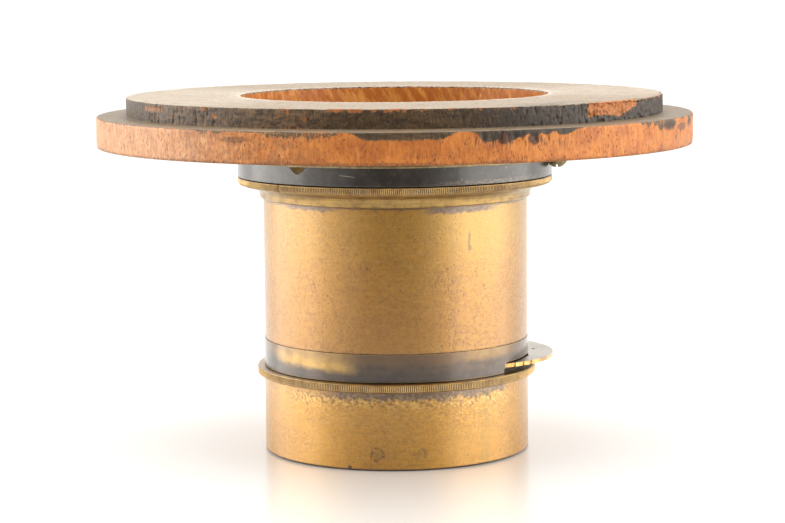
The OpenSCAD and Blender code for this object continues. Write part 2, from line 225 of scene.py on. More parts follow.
class Mat:
    """Short names for the nodes that a procedural material needs. Lengths are mm on the object's own coordinates."""

    def __init__(self, name, **uniform):
        self.m = bpy.data.materials.new(name)
        self.m.use_nodes = True
        self.t = self.m.node_tree
        self.t.nodes.clear()
        self.out = self.t.nodes.new("ShaderNodeOutputMaterial")
        self.b = self.t.nodes.new("ShaderNodeBsdfPrincipled")
        self.t.links.new(self.b.outputs[0], self.out.inputs[0])
        for key, value in uniform.items():
            self.b.inputs[key.replace("_", " ")].default_value = value
        tc = self.t.nodes.new("ShaderNodeTexCoord")
        self.normal = tc.outputs["Normal"]
        s = self.t.nodes.new("ShaderNodeVectorMath")
        s.operation = "SCALE"
        s.inputs["Scale"].default_value = 1 / MM
        self.t.links.new(tc.outputs["Object"], s.inputs[0])
        self.p = s.outputs[0]
        sep = self.t.nodes.new("ShaderNodeSeparateXYZ")
        self.t.links.new(self.p, sep.inputs[0])
        self.x, self.y, self.z = sep.outputs
        self._phi = None
        self._nz = None

    def put(self, socket, value):
        if isinstance(value, bpy.types.NodeSocket):
            self.t.links.new(value, socket)
        elif value is not None:
            socket.default_value = value

    def f(self, op, a, b=None, c=None, clamp=False):
        n = self.t.nodes.new("ShaderNodeMath")
        n.operation = op
        n.use_clamp = clamp
        for s, v in zip(n.inputs, (a, b, c)):
            self.put(s, v)
        return n.outputs[0]

    def add(self, a, b): return self.f("ADD", a, b)
    def sub(self, a, b): return self.f("SUBTRACT", a, b)
    def mul(self, a, b, clamp=False): return self.f("MULTIPLY", a, b, clamp=clamp)
    def mad(self, a, b, c): return self.f("MULTIPLY_ADD", a, b, c)
    def max(self, a, b): return self.f("MAXIMUM", a, b)
    def min(self, a, b): return self.f("MINIMUM", a, b)

    @property
    def phi(self):
        """Degrees round the axis, 0 at the front."""
        if self._phi is None:
            self._phi = self.mul(self.f("ARCTAN2", self.x, self.mul(self.y, -1.0)), 57.29578)
        return self._phi

    @property
    def nz(self):
        if self._nz is None:
            sep = self.t.nodes.new("ShaderNodeSeparateXYZ")
            self.t.links.new(self.normal, sep.inputs[0])
            self._nz = sep.outputs[2]
        return self._nz

    def attr(self, name):
        n = self.t.nodes.new("ShaderNodeAttribute")
        n.attribute_name = name
        return n.outputs["Fac"]

    def scaled(self, k, base=None):
        n = self.t.nodes.new("ShaderNodeVectorMath")
        n.operation = "MULTIPLY"
        self.t.links.new(base or self.p, n.inputs[0])
        n.inputs[1].default_value = k
        return n.outputs[0]

    def noise(self, size, detail=3.0, rough=0.5, dist=0.0, at=(1, 1, 1), w=0.0):
        """0 to 1 noise with lumps about size mm wide, stretched by at: a larger number makes it finer along that axis."""
        n = self.t.nodes.new("ShaderNodeTexNoise")
        n.noise_dimensions = "4D"
        v = self.p if at == (1, 1, 1) else self.scaled(at)
        self.t.links.new(v, n.inputs["Vector"])
        n.inputs["W"].default_value = w
        n.inputs["Scale"].default_value = 1.0 / size
        n.inputs["Detail"].default_value = detail
        n.inputs["Roughness"].default_value = rough
        n.inputs["Distortion"].default_value = dist
        return n.outputs["Fac"]

    def cells(self, size, at=(1, 1, 1), rand=1.0, feature="F1"):
        n = self.t.nodes.new("ShaderNodeTexVoronoi")
        n.feature = feature
        v = self.p if at == (1, 1, 1) else self.scaled(at)
        self.t.links.new(v, n.inputs["Vector"])
        n.inputs["Scale"].default_value = 1.0 / size
        n.inputs["Randomness"].default_value = rand
        return n.outputs["Distance"]

    def step(self, x, a, b):
        """Smooth step: 0 at a, 1 at b, either way round."""
        n = self.t.nodes.new("ShaderNodeMapRange")
        n.interpolation_type = "SMOOTHSTEP"
        flip = a > b
        if flip:
            a, b = b, a
        self.put(n.inputs["Value"], x)
        n.inputs["From Min"].default_value = a
        n.inputs["From Max"].default_value = b
        n.inputs["To Min"].default_value = 1.0 if flip else 0.0
        n.inputs["To Max"].default_value = 0.0 if flip else 1.0
        return n.outputs[0]

    def remap(self, x, a, b, lo, hi):
        n = self.t.nodes.new("ShaderNodeMapRange")
        self.put(n.inputs["Value"], x)
        n.inputs["From Min"].default_value = a
        n.inputs["From Max"].default_value = b
        n.inputs["To Min"].default_value = lo
        n.inputs["To Max"].default_value = hi
        return n.outputs[0]

    def mix(self, fac, a, b, blend="MIX"):
        n = self.t.nodes.new("ShaderNodeMix")
        n.data_type = "RGBA"
        n.blend_type = blend
        n.clamp_factor = True
        self.put(n.inputs[0], fac)
        self.put(n.inputs[6], a)
        self.put(n.inputs[7], b)
        return n.outputs[2]

    def window(self, phi, half_phi, z, half_z, ragged=0.0, noise=None):
        """1 inside an oval patch on the side, 0 outside; ragged (with a 0 to 1 noise) breaks its edge up."""
        a = self.mul(self.sub(self.phi, phi), 1 / half_phi)
        b = self.mul(self.sub(self.z, z), 1 / half_z)
        d = self.f("SQRT", self.add(self.mul(a, a), self.mul(b, b)))
        if noise is not None:
            d = self.add(d, self.mul(self.sub(noise, 0.5), ragged))
        return self.step(d, 1.25, 0.75)

    def edge(self, radius, lo=0.02, hi=0.25):
        """1 on sharp edges, from the difference between the rounded and the true normal."""
        bev = self.t.nodes.new("ShaderNodeBevel")
        bev.samples = 4
        bev.inputs["Radius"].default_value = radius * MM
        geo = self.t.nodes.new("ShaderNodeNewGeometry")
        dot = self.t.nodes.new("ShaderNodeVectorMath")
        dot.operation = "DOT_PRODUCT"
        self.t.links.new(bev.outputs[0], dot.inputs[0])
        self.t.links.new(geo.outputs["Normal"], dot.inputs[1])
        return self.step(self.sub(1.0, dot.outputs["Value"]), lo, hi)

    def bump(self, height, depth_mm, strength=1.0, after=None):
        n = self.t.nodes.new("ShaderNodeBump")
        n.inputs["Strength"].default_value = strength
        n.inputs["Distance"].default_value = depth_mm * MM
        self.t.links.new(height, n.inputs["Height"])
        if after is not None:
            self.t.links.new(after, n.inputs["Normal"])
        return n.outputs[0]

    def done(self, colour=None, rough=None, normal=None, metallic=None):
        self.put(self.b.inputs["Base Color"], colour)
        self.put(self.b.inputs["Roughness"], rough)
        self.put(self.b.inputs["Metallic"], metallic)
        if normal is not None:
            self.t.links.new(normal, self.b.inputs["Normal"])
            if self.b.inputs["Coat Weight"].default_value > 0:
                self.t.links.new(normal, self.b.inputs["Coat Normal"])
        return self.m


# ------------------------------------------------------------------ brass
def old_brass(name, body, dark, pale, extra=None, pit=1.0, rough=0.49):
    """Lacquered brass that has dulled: soft mottling, fine turning marks, and a lacquer broken into dark speckle."""
    m = Mat(name, Coat_Weight=1.0, Coat_Roughness=0.25, Coat_IOR=1.68)
    big = m.noise(30, 4, 0.6, 0.4)
    mid = m.noise(4.2, 5, 0.68, 0.2)
    fine = m.noise(0.9, 4, 0.7)
    turn = m.noise(2.0, 5, 0.75, 0.0, at=(0.10, 0.10, 8.0))
    c = m.mix(m.mul(m.step(big, 0.34, 0.68), 0.5), lin(*body), lin(*dark))
    c = m.mix(m.mul(m.step(mid, 0.48, 0.74), 0.30), c, lin(*pale))
    c = m.mix(m.mul(m.step(turn, 0.50, 0.72), 0.34), c, lin(*pale))
    c = m.mix(m.mul(m.step(turn, 0.48, 0.30), 0.55), c, m.mix(0.5, lin(*dark), lin(96, 70, 30)))
    # the speckle, thicker in some places than in others
    dense = m.noise(11, 4, 0.62, w=3.1)
    grain = m.step(m.noise(1.05, 3, 0.76, w=7.7), 0.47, 0.62)
    grain = m.mul(grain, m.remap(dense, 0.34, 0.62, 0.40, 1.0))
    c = m.mix(m.mul(grain, 0.58 * pit), c, lin(108, 70, 30))
    coarse = m.step(m.noise(2.2, 4, 0.74, w=4.9), 0.50, 0.64)
    c = m.mix(m.mul(coarse, 0.26 * pit), c, lin(116, 78, 38))
    glint = m.step(m.noise(1.0, 3, 0.74, w=1.3), 0.52, 0.64)
    c = m.mix(m.mul(glint, 0.20), c, lin(228, 184, 98))
    stroke = m.noise(1.5, 5, 0.78, 0.3, at=(0.14, 0.14, 3.2), w=6.0)
    c = m.mix(m.mul(m.step(stroke, 0.52, 0.68), 0.44), c, lin(142, 114, 54))
    c = m.mix(m.mul(m.step(stroke, 0.46, 0.30), 0.26), c, lin(206, 158, 76))
    speck = m.cells(1.25, rand=1.0)
    pits = m.mul(m.step(m.add(speck, m.mul(fine, 0.24)), 0.36, 0.20), m.step(dense, 0.38, 0.56))
    c = m.mix(m.mul(pits, 0.50 * pit), c, lin(64, 42, 26))
    r = m.mad(m.sub(mid, 0.5), 0.14, rough)
    r = m.mad(m.sub(fine, 0.5), 0.12, r)
    if extra is not None:
        c, r = extra(m, c, r, mid, fine)
    # a pale line painted along the sharp edges: lacquer rubbed through, and a painted highlight
    c = m.mix(m.mul(m.edge(0.22, 0.05, 0.3), m.mul(m.step(mid, 0.40, 0.60), 0.7)), c, lin(222, 184, 108))
    r = m.mad(pits, 0.2, r)
    h = m.sub(m.mul(turn, 0.35), m.mul(pits, 1.0))
    h = m.mad(grain, -0.50, h)
    h = m.mad(fine, 0.45, h)
    return m.done(c, r, m.bump(h, 0.05, 0.75), 1.0)


def barrel_marks(m, c, r, mid, fine):
    rag = m.noise(2.4, 5, 0.72, w=1.7)
    drift = m.noise(13, 4, 0.62, w=4.4)
    # the lower half is browner and redder, the upper half yellower, above all at the right, where the extra yellow is a
    # painted highlight
    high = m.mad(m.sub(drift, 0.5), 30.0, m.z)
    c = m.mix(m.mul(m.step(high, 72.0, 44.0), 0.28), c, lin(150, 106, 42))
    gold_and_highlight = m.mul(m.step(high, 54.0, 84.0), m.mad(m.mul(m.step(m.phi, -4.0, 34.0), m.step(m.phi, 76.0, 44.0)), 0.30, 0.26))
    c = m.mix(gold_and_highlight, c, lin(186, 152, 60))
    # reddish powdery patches low down
    red = m.mul(m.step(m.noise(1.5, 4, 0.72, w=6.2), 0.52, 0.66), m.step(high, 70.0, 48.0))
    c = m.mix(m.mul(red, 0.14), c, lin(176, 118, 66))
    # purple-grey tarnish in a thin broken line under the collar, thicker in two runs
    down = m.mad(m.sub(rag, 0.5), 3.4, m.sub(z_neck, m.z))
    left = m.mul(m.step(m.phi, -58.0, -47.0), m.step(m.phi, -20.0, -33.0))
    right = m.mul(m.step(m.phi, 8.0, 18.0), m.step(m.phi, 52.0, 40.0))
    back = m.step(m.f("ABSOLUTE", m.phi), 95.0, 125.0)
    runs = m.max(right, m.mul(back, 0.7))
    tarnish = m.max(m.mul(m.step(down, 2.7, 1.5), runs), m.mul(m.step(down, 1.0, 0.3), 0.75))
    tarnish = m.max(tarnish, m.mul(m.step(down, 1.9, 0.9), left))
    c = m.mix(m.mul(tarnish, 0.86), c, m.mix(m.step(fine, 0.42, 0.58), lin(66, 53, 50), lin(112, 92, 80)))
    # a run of green-grey down the right side, and a small blot below it
    wob = m.mul(m.sub(m.noise(5.0, 2, 0.5, w=9.1), 0.5), 5.0)
    trail = m.step(m.f("ABSOLUTE", m.add(m.sub(m.phi, 32.4), wob)), 0.85, 0.35)
    trail = m.mul(m.mul(trail, m.step(m.z, 71.2, 72.6)), m.step(m.z, 79.0, 77.0))
    c = m.mix(m.mul(trail, 0.62), c, lin(88, 78, 58))
    for phi, z, w in ((24.2, 62.0, 0.55), (22.0, 66.5, 0.5), (29.4, 57.5, 0.45), (-12.0, 67.0, 0.5), (40.0, 60.0, 0.5)):
        c = m.mix(m.mul(m.window(phi, w, z, 0.55, 1.6, rag), 0.55), c, lin(88, 66, 44))
    # fine level scratches across the upper right
    scratch = m.step(m.noise(1.6, 4, 0.8, 0.6, at=(0.10, 0.10, 3.6), w=2.2), 0.60, 0.70)
    c = m.mix(m.mul(m.mul(scratch, m.step(m.z, 58.0, 66.0)), 0.38), c, lin(230, 190, 116))
    # a line of dirt where the tube meets the band and the neck
    line = m.max(m.step(m.z, z_tube0 + 0.7, z_tube0 + 0.05), m.step(m.z, z_neck - 0.75, z_neck - 0.1))
    c = m.mix(m.mul(m.mul(line, m.step(rag, 0.34, 0.58)), 0.7), c, lin(86, 52, 34))
    # long upright drip marks
    drip = m.noise(4.0, 3, 0.6, 0.0, at=(1.0, 1.0, 0.06), w=5.0)
    c = m.mix(m.mul(m.step(drip, 0.58, 0.76), 0.20), c, lin(122, 84, 42))
    return c, r


def hood_marks(m, c, r, mid, fine):
    rag = m.noise(2.6, 6, 0.75, w=2.4)
    gritty = m.noise(0.9, 4, 0.75, w=5.1)
    front = m.mul(m.step(m.phi, -66.0, -40.0), m.step(m.phi, 62.0, 48.0))
    back = m.mul(m.step(m.f("ABSOLUTE", m.phi), 100.0, 130.0), 0.8)
    where = m.max(m.max(front, back), 0.3)
    # under the knurled ring the lacquer has gone: grey tarnish right against it, then a gritty bright and dark fringe
    high = m.mad(m.sub(rag, 0.5), 7.5, m.z)
    core = m.mad(m.mul(m.step(m.phi, -38.0, -22.0), m.step(m.phi, 60.0, 50.0)), 0.75, 0.25)
    blot = m.mul(m.mul(m.step(high, 22.7, 24.3), core), where)
    fringe = m.mul(m.mul(m.step(high, 19.4, 22.6), m.step(high, 25.6, 24.0)), where)
    c = m.mix(m.mul(m.mul(fringe, m.step(gritty, 0.48, 0.58)), 0.76), c, lin(224, 184, 102))
    c = m.mix(m.mul(m.mul(fringe, m.step(gritty, 0.49, 0.40)), 0.80), c, lin(96, 62, 36))
    c = m.mix(m.mul(blot, 0.84), c, m.mix(m.step(gritty, 0.44, 0.60), lin(74, 62, 58), lin(132, 110, 92)))
    scatter = m.mul(m.mul(m.step(high, 10.5, 19.5), m.step(high, 24.0, 21.0)), m.mul(where, m.mad(m.step(m.phi, 0.0, 30.0), 0.4, 0.6)))
    sparse = m.noise(0.75, 4, 0.8, 0.2, at=(0.45, 0.45, 1.3), w=8.8)
    c = m.mix(m.mul(m.mul(scatter, m.step(sparse, 0.54, 0.62)), 0.72), c, lin(226, 188, 106))
    c = m.mix(m.mul(m.mul(scatter, m.step(sparse, 0.45, 0.38)), 0.60), c, lin(112, 76, 42))
    # the rest is gently streaked across
    streak = m.step(m.noise(1.5, 4, 0.78, 0.4, at=(0.10, 0.10, 4.0), w=3.2), 0.54, 0.72)
    c = m.mix(m.mul(streak, 0.30), c, lin(214, 168, 92))
    # two stains low on the front, where drops have dried
    for phi, z, depth in ((-8.5, 5.3, 0.66), (9.4, 5.3, 0.50)):
        a = m.mul(m.sub(m.phi, phi), 1 / 2.6)
        b = m.mul(m.sub(m.z, z), 1 / 2.1)
        d = m.f("SQRT", m.add(m.mul(a, a), m.mul(b, b)))
        d = m.mad(m.sub(rag, 0.5), 1.3, d)
        ring = m.step(m.f("ABSOLUTE", m.sub(d, 0.95)), 0.42, 0.12)
        ring = m.mul(ring, m.step(m.noise(1.6, 3, 0.6, w=7.0 + phi), 0.40, 0.56))
        spot = m.mul(m.step(d, 0.9, 0.3), 0.45)
        c = m.mix(m.mul(m.max(ring, spot), depth), c, lin(88, 56, 30))
    c = m.mix(m.mul(m.window(-20.2, 1.0, 0.8, 0.6, 1.5, rag), 0.8), c, lin(48, 34, 24))
    # greenish streak at the right
    green = m.mul(m.step(m.f("ABSOLUTE", m.sub(m.phi, 40.0)), 4.0, 1.0), m.step(rag, 0.36, 0.6))
    c = m.mix(m.mul(green, 0.32), c, lin(126, 116, 64))
    # dark line at the front rim
    c = m.mix(m.mul(m.step(m.z, 0.8, 0.2), 0.75), c, lin(66, 44, 26))
    return c, r


BARREL = old_brass("brass_barrel", (184, 130, 46), (158, 108, 36), (208, 162, 68), barrel_marks)
HOOD = old_brass("brass_hood", (196, 142, 40), (174, 123, 36), (214, 168, 64), hood_marks, pit=0.62)
CELL = old_brass("brass_cell", (146, 112, 62), (112, 84, 50), (180, 144, 88), None, pit=0.7)


def knurled_brass(name):
    """Bright on the teeth, dark dirt between them; the plain parts as the barrel. Reads how high the metal stands."""
    m = Mat(name, Coat_Weight=0.8, Coat_Roughness=0.3)
    teeth = m.attr("teeth")       # 1 in the knurled zone
    crest = m.attr("crest")       # 1 on the crest of a tooth
    mid = m.noise(4.5, 5, 0.66, 0.3)
    fine = m.noise(0.8, 4, 0.7)
    turn = m.noise(2.0, 4, 0.75, 0.0, at=(0.12, 0.12, 8.0))
    plain = m.mix(m.step(mid, 0.38, 0.66), lin(172, 138, 72), lin(132, 100, 50))
    plain = m.mix(m.mul(m.step(turn, 0.48, 0.70), 0.55), plain, lin(214, 182, 112))
    plain = m.mix(m.mul(m.step(turn, 0.46, 0.30), 0.5), plain, lin(98, 70, 38))
    plain = m.mix(m.mul(m.step(m.noise(1.1, 4, 0.7, w=6.6), 0.50, 0.66), 0.45), plain, lin(104, 78, 46))
    where = m.noise(8, 3, 0.6, w=4.1)
    pits = m.mul(m.step(m.add(m.cells(1.0), m.mul(fine, 0.2)), 0.32, 0.16), m.step(where, 0.40, 0.62))
    plain = m.mix(m.mul(pits, 0.6), plain, lin(60, 42, 30))
    tooth = m.mix(m.step(crest, 0.15, 0.85), lin(66, 48, 28), m.mix(m.step(mid, 0.4, 0.7), lin(196, 160, 98), lin(150, 116, 68)))
    c = m.mix(teeth, plain, tooth)
    grime = m.step(m.noise(2.2, 5, 0.72, w=8.0), 0.56, 0.70)
    c = m.mix(m.mul(m.mul(grime, teeth), 0.6), c, lin(92, 68, 42))
    # a pale line painted along the sharp edges, the lower edge of the neck among them: wear, and a painted highlight
    c = m.mix(m.mul(m.edge(0.2, 0.04, 0.25), m.mul(m.step(mid, 0.36, 0.54), 0.6)), c, lin(226, 196, 130))
    r = m.mad(m.sub(mid, 0.5), 0.16, 0.42)
    r = m.mad(pits, 0.2, r)
    h = m.sub(m.mul(turn, 0.4), pits)
    h = m.mad(fine, 0.3, h)
    return m.done(c, r, m.bump(h, 0.04, 0.6), 1.0)


KNURL = knurled_brass("brass_knurled")


def darkened_brass():
    """The band: smooth and dark, worn to pale brass over a patch at the front left."""
    m = Mat("brass_darkened", Coat_Weight=1.0, Coat_Roughness=0.17, Coat_IOR=1.6)
    mid = m.noise(5.0, 5, 0.62, 0.3)
    fine = m.noise(0.8, 3, 0.6)
    turn = m.noise(2.4, 4, 0.7, 0.0, at=(0.08, 0.08, 5.0))
    rag = m.noise(3.6, 5, 0.66, w=3.7, at=(0.45, 0.45, 1.0))
    skin = m.mix(m.step(mid, 0.38, 0.66), lin(92, 74, 58), lin(72, 60, 50))
    skin = m.mix(m.mul(m.step(turn, 0.5, 0.76), 0.35), skin, lin(128, 102, 76))
    # browner along the top, greyer below
    upper = m.mad(m.sub(rag, 0.5), 3.6, m.z)
    skin = m.mix(m.mul(m.step(upper, 33.8, 36.6), 0.46), skin, lin(132, 98, 60))
    skin = m.mix(m.mul(m.step(upper, 33.6, 31.4), 0.45), skin, lin(58, 52, 50))
    bare = m.mix(m.step(mid, 0.36, 0.66), lin(194, 156, 80), lin(168, 130, 66))
    # the worn patch: soft at its ends, brightest along its lower side
    ends = m.mul(m.step(m.phi, -70.0, -50.0), m.step(m.phi, -13.0, -27.0))
    low = m.mad(m.sub(m.phi, -38.0), 0.035, upper)
    worn = m.mul(m.mul(m.step(low, 31.8, 34.2), ends), m.mad(m.step(low, 37.6, 34.6), 0.54, 0.44))
    slight = m.mul(m.mul(m.step(upper, 34.6, 36.8), m.mul(m.step(m.phi, 24.0, 34.0), m.step(m.phi, 66.0, 52.0))), 0.30)
    back = m.mul(m.mul(m.step(m.f("ABSOLUTE", m.sub(m.phi, -150.0)), 26.0, 8.0), m.step(upper, 32.5, 34.6)), 0.6)
    scattered = m.mul(m.step(m.noise(1.7, 4, 0.7, w=9.0), 0.64, 0.74), 0.35)
    wear = m.max(m.max(worn, slight), m.max(scattered, back))
    wear = m.mul(wear, m.step(m.f("ABSOLUTE", m.nz), 0.6, 0.3))
    # a pale line painted along the band's sharp edges: a painted highlight, and partly brass worn bare
    rim = m.mul(m.edge(0.28, 0.03, 0.20), m.step(rag, 0.26, 0.44))
    c = m.mix(wear, skin, bare)
    dust = m.mul(m.step(m.noise(0.9, 4, 0.7, w=5.5), 0.58, 0.72), 0.35)
    c = m.mix(dust, c, lin(136, 118, 94))
    c = m.mix(m.mul(rim, 0.85), c, lin(222, 184, 112))
    # the threaded sleeve below
    c = m.mix(m.step(m.z, z_ring_top + 0.28, z_ring_top + 0.1), c, lin(92, 72, 44))
    r = m.mad(m.sub(mid, 0.5), 0.2, 0.42)
    r = m.mad(wear, 0.06, r)
    h = m.add(m.mul(turn, 0.4), m.mul(fine, 0.3))
    return m.done(c, r, m.bump(h, 0.03, 0.5), 1.0)


BAND = darkened_brass()


def blackened_brass():
    """The flange: black lacquer over brass, chipped through in the bites at its screws; its plate is bare and olive."""
    m = Mat("brass_blackened", Coat_Weight=1.0, Coat_Roughness=0.19)
    mid = m.noise(6.0, 5, 0.62, 0.2)
    fine = m.noise(0.7, 4, 0.65)
    rag = m.noise(1.8, 5, 0.72, w=2.2)
    skin = m.mix(m.step(mid, 0.4, 0.68), lin(42, 37, 33), lin(62, 54, 47))
    skin = m.mix(m.mul(m.step(m.noise(2.6, 4, 0.7, 0.3, at=(0.12, 0.12, 3.0), w=7.3), 0.54, 0.74), 0.4), skin, lin(86, 76, 66))
    bare = m.mix(m.step(fine, 0.4, 0.6), lin(232, 192, 128), lin(198, 156, 100))
    rr = m.f("SQRT", m.add(m.mul(m.x, m.x), m.mul(m.y, m.y)))
    side = m.step(m.f("ABSOLUTE", m.nz), 0.75, 0.5)
    # the tapered cuts beside the screws show bare metal: they lie further in than the hub's wall
    bite = m.mul(m.step(rr, 53.85, 53.7), m.mul(m.step(rr, 51.0, 51.3), m.step(m.z, 95.2, 95.6)))
    bite = m.mul(bite, side)
    chips = m.mul(m.edge(0.3, 0.04, 0.3), m.step(rag, 0.42, 0.60))
    # flakes lost along the hub's lower edge, mostly at the right, and a few specks
    low = m.mad(m.sub(rag, 0.5), 3.2, m.z)
    flakes = m.mul(m.mul(m.step(low, z_hub + 1.9, z_hub + 0.9), m.mul(m.step(m.phi, 12.0, 24.0), m.step(m.phi, 70.0, 50.0))), side)
    flakes = m.mul(flakes, m.step(fine, 0.46, 0.56))
    specks = m.mul(m.step(m.noise(1.0, 3, 0.6, w=6.0), 0.67, 0.73), 0.6)
    c = m.mix(m.max(bite, m.max(m.mul(chips, 0.85), specks)), skin, bare)
    c = m.mix(m.mul(flakes, 0.6), c, lin(150, 140, 122))
    # fine scratch on the front
    scratch = m.mul(m.step(m.f("ABSOLUTE", m.mad(m.sub(m.phi, -17.0), 0.10, m.sub(m.z, 98.0))), 0.16, 0.05), m.mul(m.step(m.phi, -20.0, -18.5), m.step(m.phi, -13.5, -15.0)))
    c = m.mix(m.mul(scratch, 0.8), c, lin(170, 158, 140))
    dust = m.mul(m.step(m.noise(2.2, 5, 0.74, w=5.0), 0.50, 0.72), 0.30)
    c = m.mix(dust, c, lin(106, 96, 84))
    # the plate, outside the hub
    plate = m.step(rr, 54.2, 54.6)
    olive = m.mix(m.step(mid, 0.38, 0.62), lin(158, 142, 98), lin(118, 104, 70))
    c = m.mix(m.mul(plate, m.step(rag, 0.22, 0.40)), c, olive)
    # painted shade: the empty screw holes and the plate round them are painted near black
    pit = m.attr("hole")
    c = m.mix(m.mul(pit, 0.85), c, lin(34, 26, 20))
    metal = m.mul(m.max(m.max(m.mul(bite, 0.2), chips), plate), m.sub(1.0, pit))
    r = m.mad(m.sub(mid, 0.5), 0.18, 0.36)
    r = m.mad(flakes, 0.15, r)
    return m.done(c, r, m.bump(m.add(m.mul(mid, 0.6), m.mul(fine, 0.5)), 0.045, 0.6), m.mad(metal, 0.6, 0.35))


FLANGE = blackened_brass()


def green_brass():
    """Screw heads gone olive with verdigris in the slot."""
    m = Mat("brass_green")
    mid = m.noise(1.6, 5, 0.65)
    fine = m.noise(0.5, 3, 0.6)
    c = m.mix(m.step(mid, 0.36, 0.62), lin(150, 138, 96), lin(108, 92, 58))
    c = m.mix(m.mul(m.step(m.noise(0.9, 4, 0.7, w=2.0), 0.52, 0.70), 0.8), c, lin(122, 138, 98))
    c = m.mix(m.mul(m.edge(0.3, 0.05, 0.4), 0.5), c, lin(166, 136, 78))
    r = m.mad(m.sub(mid, 0.5), 0.3, 0.62)
    return m.done(c, r, m.bump(m.add(mid, m.mul(fine, 0.6)), 0.10, 0.8), m.remap(mid, 0.3, 0.7, 0.55, 0.05))


def screw_brass():
    m = Mat("brass_screws", Coat_Weight=0.1)
    mid = m.noise(1.8, 4, 0.6)
    fine = m.noise(0.3, 3, 0.6)
    c = m.mix(m.step(mid, 0.36, 0.64), lin(176, 138, 82), lin(122, 90, 54))
    c = m.mix(m.mul(m.edge(0.15, 0.05, 0.4), 0.6), c, lin(222, 188, 122))
    c = m.mix(m.mul(m.step(fine, 0.60, 0.70), 0.5), c, lin(62, 46, 32))
    return m.done(c, m.mad(m.sub(mid, 0.5), 0.2, 0.36), m.bump(fine, 0.03, 0.6), 1.0)


def wheel_brass():
    """The wheel: faces dark and stained from handling, its edge rubbed bright."""
    m = Mat("brass_wheel", Coat_Weight=0.8, Coat_Roughness=0.26)
    mid = m.noise(6.0, 5, 0.62, 0.5)
    fine = m.noise(0.7, 4, 0.6)
    face = m.mix(m.step(mid, 0.38, 0.62), lin(152, 138, 108), lin(128, 112, 84))
    face = m.mix(m.mul(m.step(m.noise(3.4, 4, 0.6, w=3.0), 0.54, 0.70), 0.6), face, lin(158, 130, 112))
    face = m.mix(m.mul(m.step(m.noise(2.6, 4, 0.6, w=5.0), 0.56, 0.72), 0.6), face, lin(120, 124, 98))
    face = m.mix(m.mul(m.step(fine, 0.54, 0.66), 0.62), face, lin(64, 54, 42))
    # dirt round the click dimples
    near = m.noise(1.0, 3, 0.6, w=8.0)
    face = m.mix(m.mul(m.step(near, 0.62, 0.72), 0.35), face, lin(70, 60, 52))
    side = m.step(m.f("ABSOLUTE", m.nz), 0.8, 0.5)
    rim = m.mix(m.step(mid, 0.36, 0.66), lin(222, 178, 104), lin(176, 132, 72))
    c = m.mix(m.max(side, m.mul(m.edge(0.3, 0.03, 0.25), 0.8)), face, rim)
    return m.done(c, m.mad(m.sub(mid, 0.5), 0.2, 0.36), m.bump(m.add(mid, m.mul(fine, 0.6)), 0.05, 0.6), 1.0)


def spring_steel():
    m = Mat("steel_spring")
    mid = m.noise(2.4, 5, 0.65)
    fine = m.noise(0.4, 3, 0.6, at=(0.3, 3.0, 1.0))
    c = m.mix(m.step(mid, 0.4, 0.62), lin(132, 134, 140), lin(92, 92, 96))
    c = m.mix(m.mul(m.step(m.noise(1.4, 4, 0.7, w=4.0), 0.58, 0.72), 0.8), c, lin(104, 66, 44))
    return m.done(c, m.mad(m.sub(mid, 0.5), 0.3, 0.36), m.bump(fine, 0.02, 0.5), 1.0)


def inside_black():
    m = Mat("black_inside")
    mid = m.noise(4.0, 5, 0.62)
    fine = m.noise(0.5, 3, 0.6)
    c = m.mix(m.step(mid, 0.4, 0.66), lin(26, 24, 23), lin(46, 42, 38))
    c = m.mix(m.mul(m.edge(0.25, 0.04, 0.3), 0.7), c, lin(140, 108, 62))
    c = m.mix(m.mul(m.step(m.noise(1.2, 4, 0.65, w=2.0), 0.64, 0.74), 0.6), c, lin(112, 84, 50))
    return m.done(c, m.mad(m.sub(mid, 0.5), 0.2, 0.72), m.bump(fine, 0.05, 0.6), m.remap(mid, 0.3, 0.7, 0.1, 0.4))


def glass(name, ior, tint):
    """Ground and polished glass: clean in the middle, a little dust and haze."""
    m = Mat(name, Transmission_Weight=1.0, IOR=ior)
    dust = m.step(m.noise(0.7, 3, 0.6), 0.66, 0.74)
    haze = m.noise(14, 4, 0.6)
    c = m.mix(m.mul(haze, 0.5), lin(*tint), lin(250, 252, 248))
    r = m.mad(haze, 0.012, m.mul(dust, 0.12))
    return m.done(c, r, m.bump(haze, 0.01, 0.05), 0.0)


